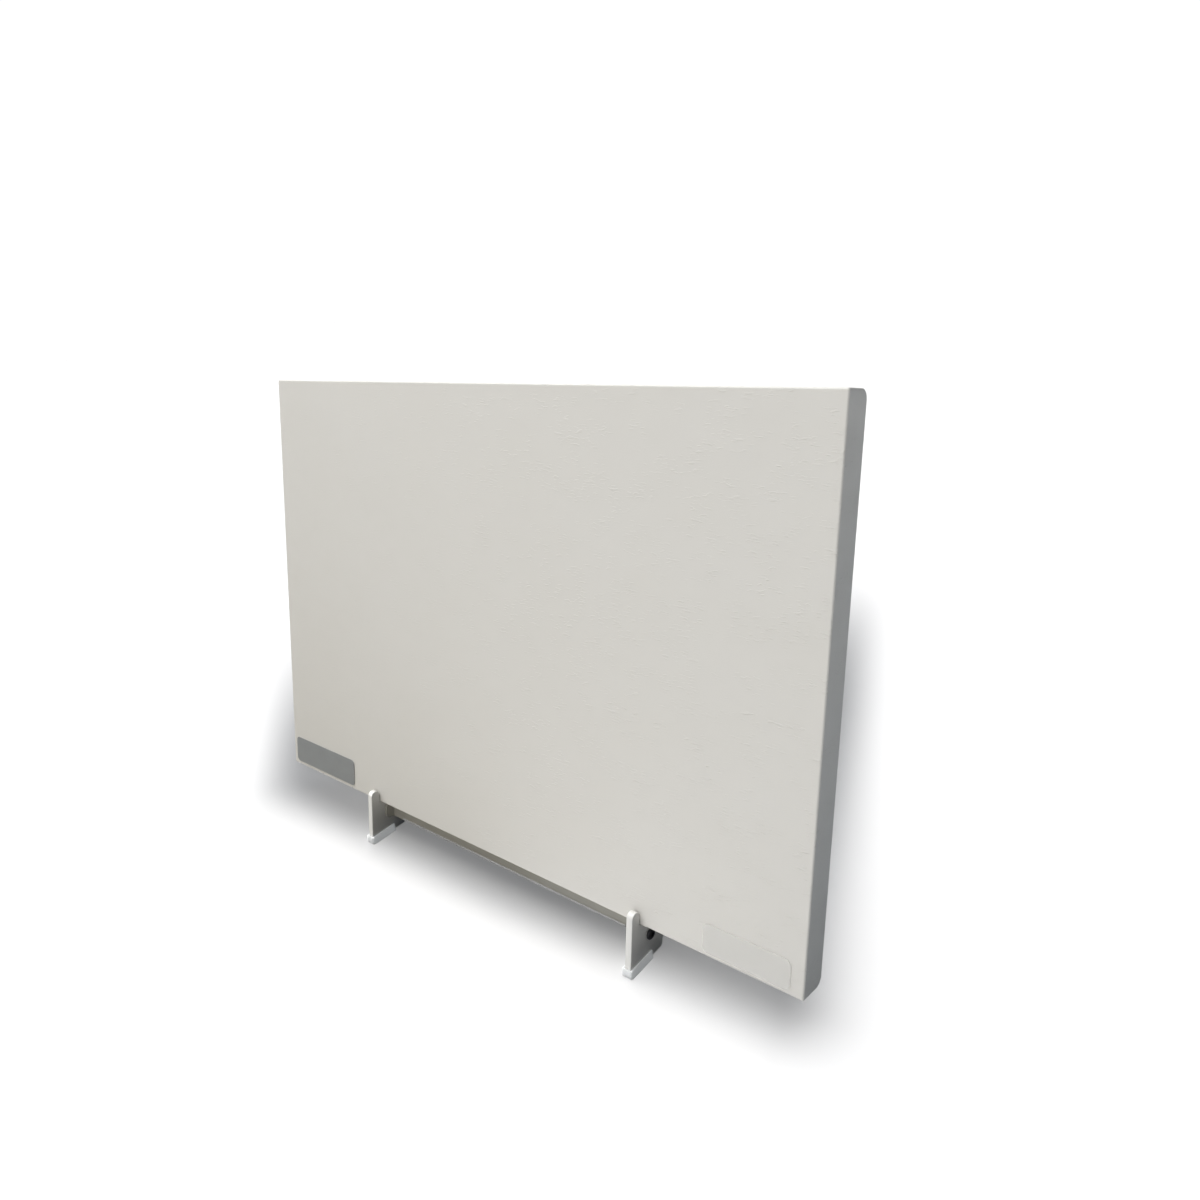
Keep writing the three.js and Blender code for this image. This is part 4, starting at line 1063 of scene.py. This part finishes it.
nylon = Finish("black_nylon", nylon_black, roughness=0.42)
nylon.relief(nylon.noise(nylon_grain), nylon_relief)
nylon.gloss(nylon.noise(nylon_patch), *nylon_sheen)
nut = hex_with_dome(gland_hex, nut_start, nut_start + gland_nut_height, gland_nut_round, gland_bore)
nut = carved(nut, [round_bar(gland_hole, nut_start - box_wall, nut_start + gland_stub)])
fitted("gland_dome_nut", nut, nylon, gland_place, "panel", "black_plastic", "gland_nut", sharp=gland_angle)
hex_ring = hex_with_dome(gland_hex, gland_seat, gland_seat + gland_hex_height, box_edge, gland_bore)
threaded = carved(hex_ring, [round_bar(gland_thread, thread_tip, thread_end)], "UNION")
threaded = carved(threaded, [round_bar(gland_bore, thread_tip - box_wall, thread_end + box_wall)])
fitted("gland_hexagon", threaded, nylon, gland_place, "panel", "black_plastic", "gland_body",
       sharp=gland_angle)

rubber = Finish("black_rubber", rubber_black, roughness=0.7)
rubber.relief(rubber.noise(rubber_grain), rubber_relief)
seal_radius = (gland_hex + gland_seal_edge) / 2
seal_edge = gland_seal / 3
seal_end = gland_start + gland_seal
seal_flat = seal_radius - seal_edge
seal = turned([(0, gland_start), (seal_flat, gland_start), (seal_radius, gland_start + seal_edge),
               (seal_radius, seal_end - seal_edge), (seal_flat, seal_end), (0, seal_end)], screw_sides)
seal = carved(seal, [round_bar(gland_hole, 0, nut_start)])
fitted("gland_seal_ring", seal, rubber, gland_place, "panel", "black_rubber", "gland_seal",
       sharp=gland_angle)


# Pieces inside the casing and the terminal box, which nothing opens: the heating stack, the cutout, the
# block, the leads and their fixings. They keep the model's own solids and get their finishes.
patch_share, shade_share = 5, 0.85


def inner_finish(name, colour, roughness, metallic, grain, depth):
    """Finish with a relief of a grain and depth in metres, and a faint drift of its colour."""
    finish = Finish(name, colour, roughness, metallic)
    finish.relief(finish.noise(grain), depth)
    shade = tuple(shade_share * share for share in colour)
    finish.mottle(finish.noise(patch_share * grain), shade, colour)
    return finish.material


mica = inner_finish("mica_sheet", (0.58, 0.41, 0.17), 0.5, 0, 0.004, 0.00004)
copper = inner_finish("copper_strip", (0.72, 0.33, 0.13), 0.3, 1, 0.002, 0.00001)
board = inner_finish("mineral_board", (0.74, 0.70, 0.58), 0.95, 0, 0.0015, 0.0002)
brown_wire = inner_finish("brown_wire", (0.14, 0.05, 0.02), 0.5, 0, 0.001, 0.00001)
inner_pieces = {
    "front_insulation": mica,
    "rear_insulation": mica,
    "heating_film": inner_finish("carbon_film", (0.02, 0.02, 0.02), 0.6, 0, 0.003, 0.00002),
    "left_busbar": copper,
    "right_busbar": copper,
    "reflector_foil": inner_finish("aluminium_foil", (0.8, 0.81, 0.82), 0.25, 1, 0.006, 0.0001),
    "insulation_board": board,
    "thermal_cutout": inner_finish("cutout_case", (0.03, 0.03, 0.03), 0.4, 0, 0.001, 0.00002),
    "terminal_block": inner_finish("block_plastic", (0.66, 0.63, 0.52), 0.5, 0, 0.001, 0.00002),
    "wiring_grommet": rubber.material,
    "gland_locknut": steel.material,
    "base_screw_1": steel.material,
    "base_screw_2": steel.material,
    "earth_screw": inner_finish("brass_screw", (0.66, 0.47, 0.18), 0.3, 1, 0.001, 0.00001),
    "earth_ring": inner_finish("tinned_ring", (0.7, 0.7, 0.68), 0.3, 1, 0.001, 0.00001),
    "live_lead": brown_wire,
    "cutout_lead": brown_wire,
    "neutral_lead": inner_finish("blue_wire", (0.03, 0.12, 0.40), 0.5, 0, 0.001, 0.00001),
    "earth_lead": inner_finish("green_wire", (0.12, 0.32, 0.05), 0.5, 0, 0.001, 0.00001),
}
for name, finish in inner_pieces.items():
    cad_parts[name].data.materials.clear()
    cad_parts[name].data.materials.append(finish)
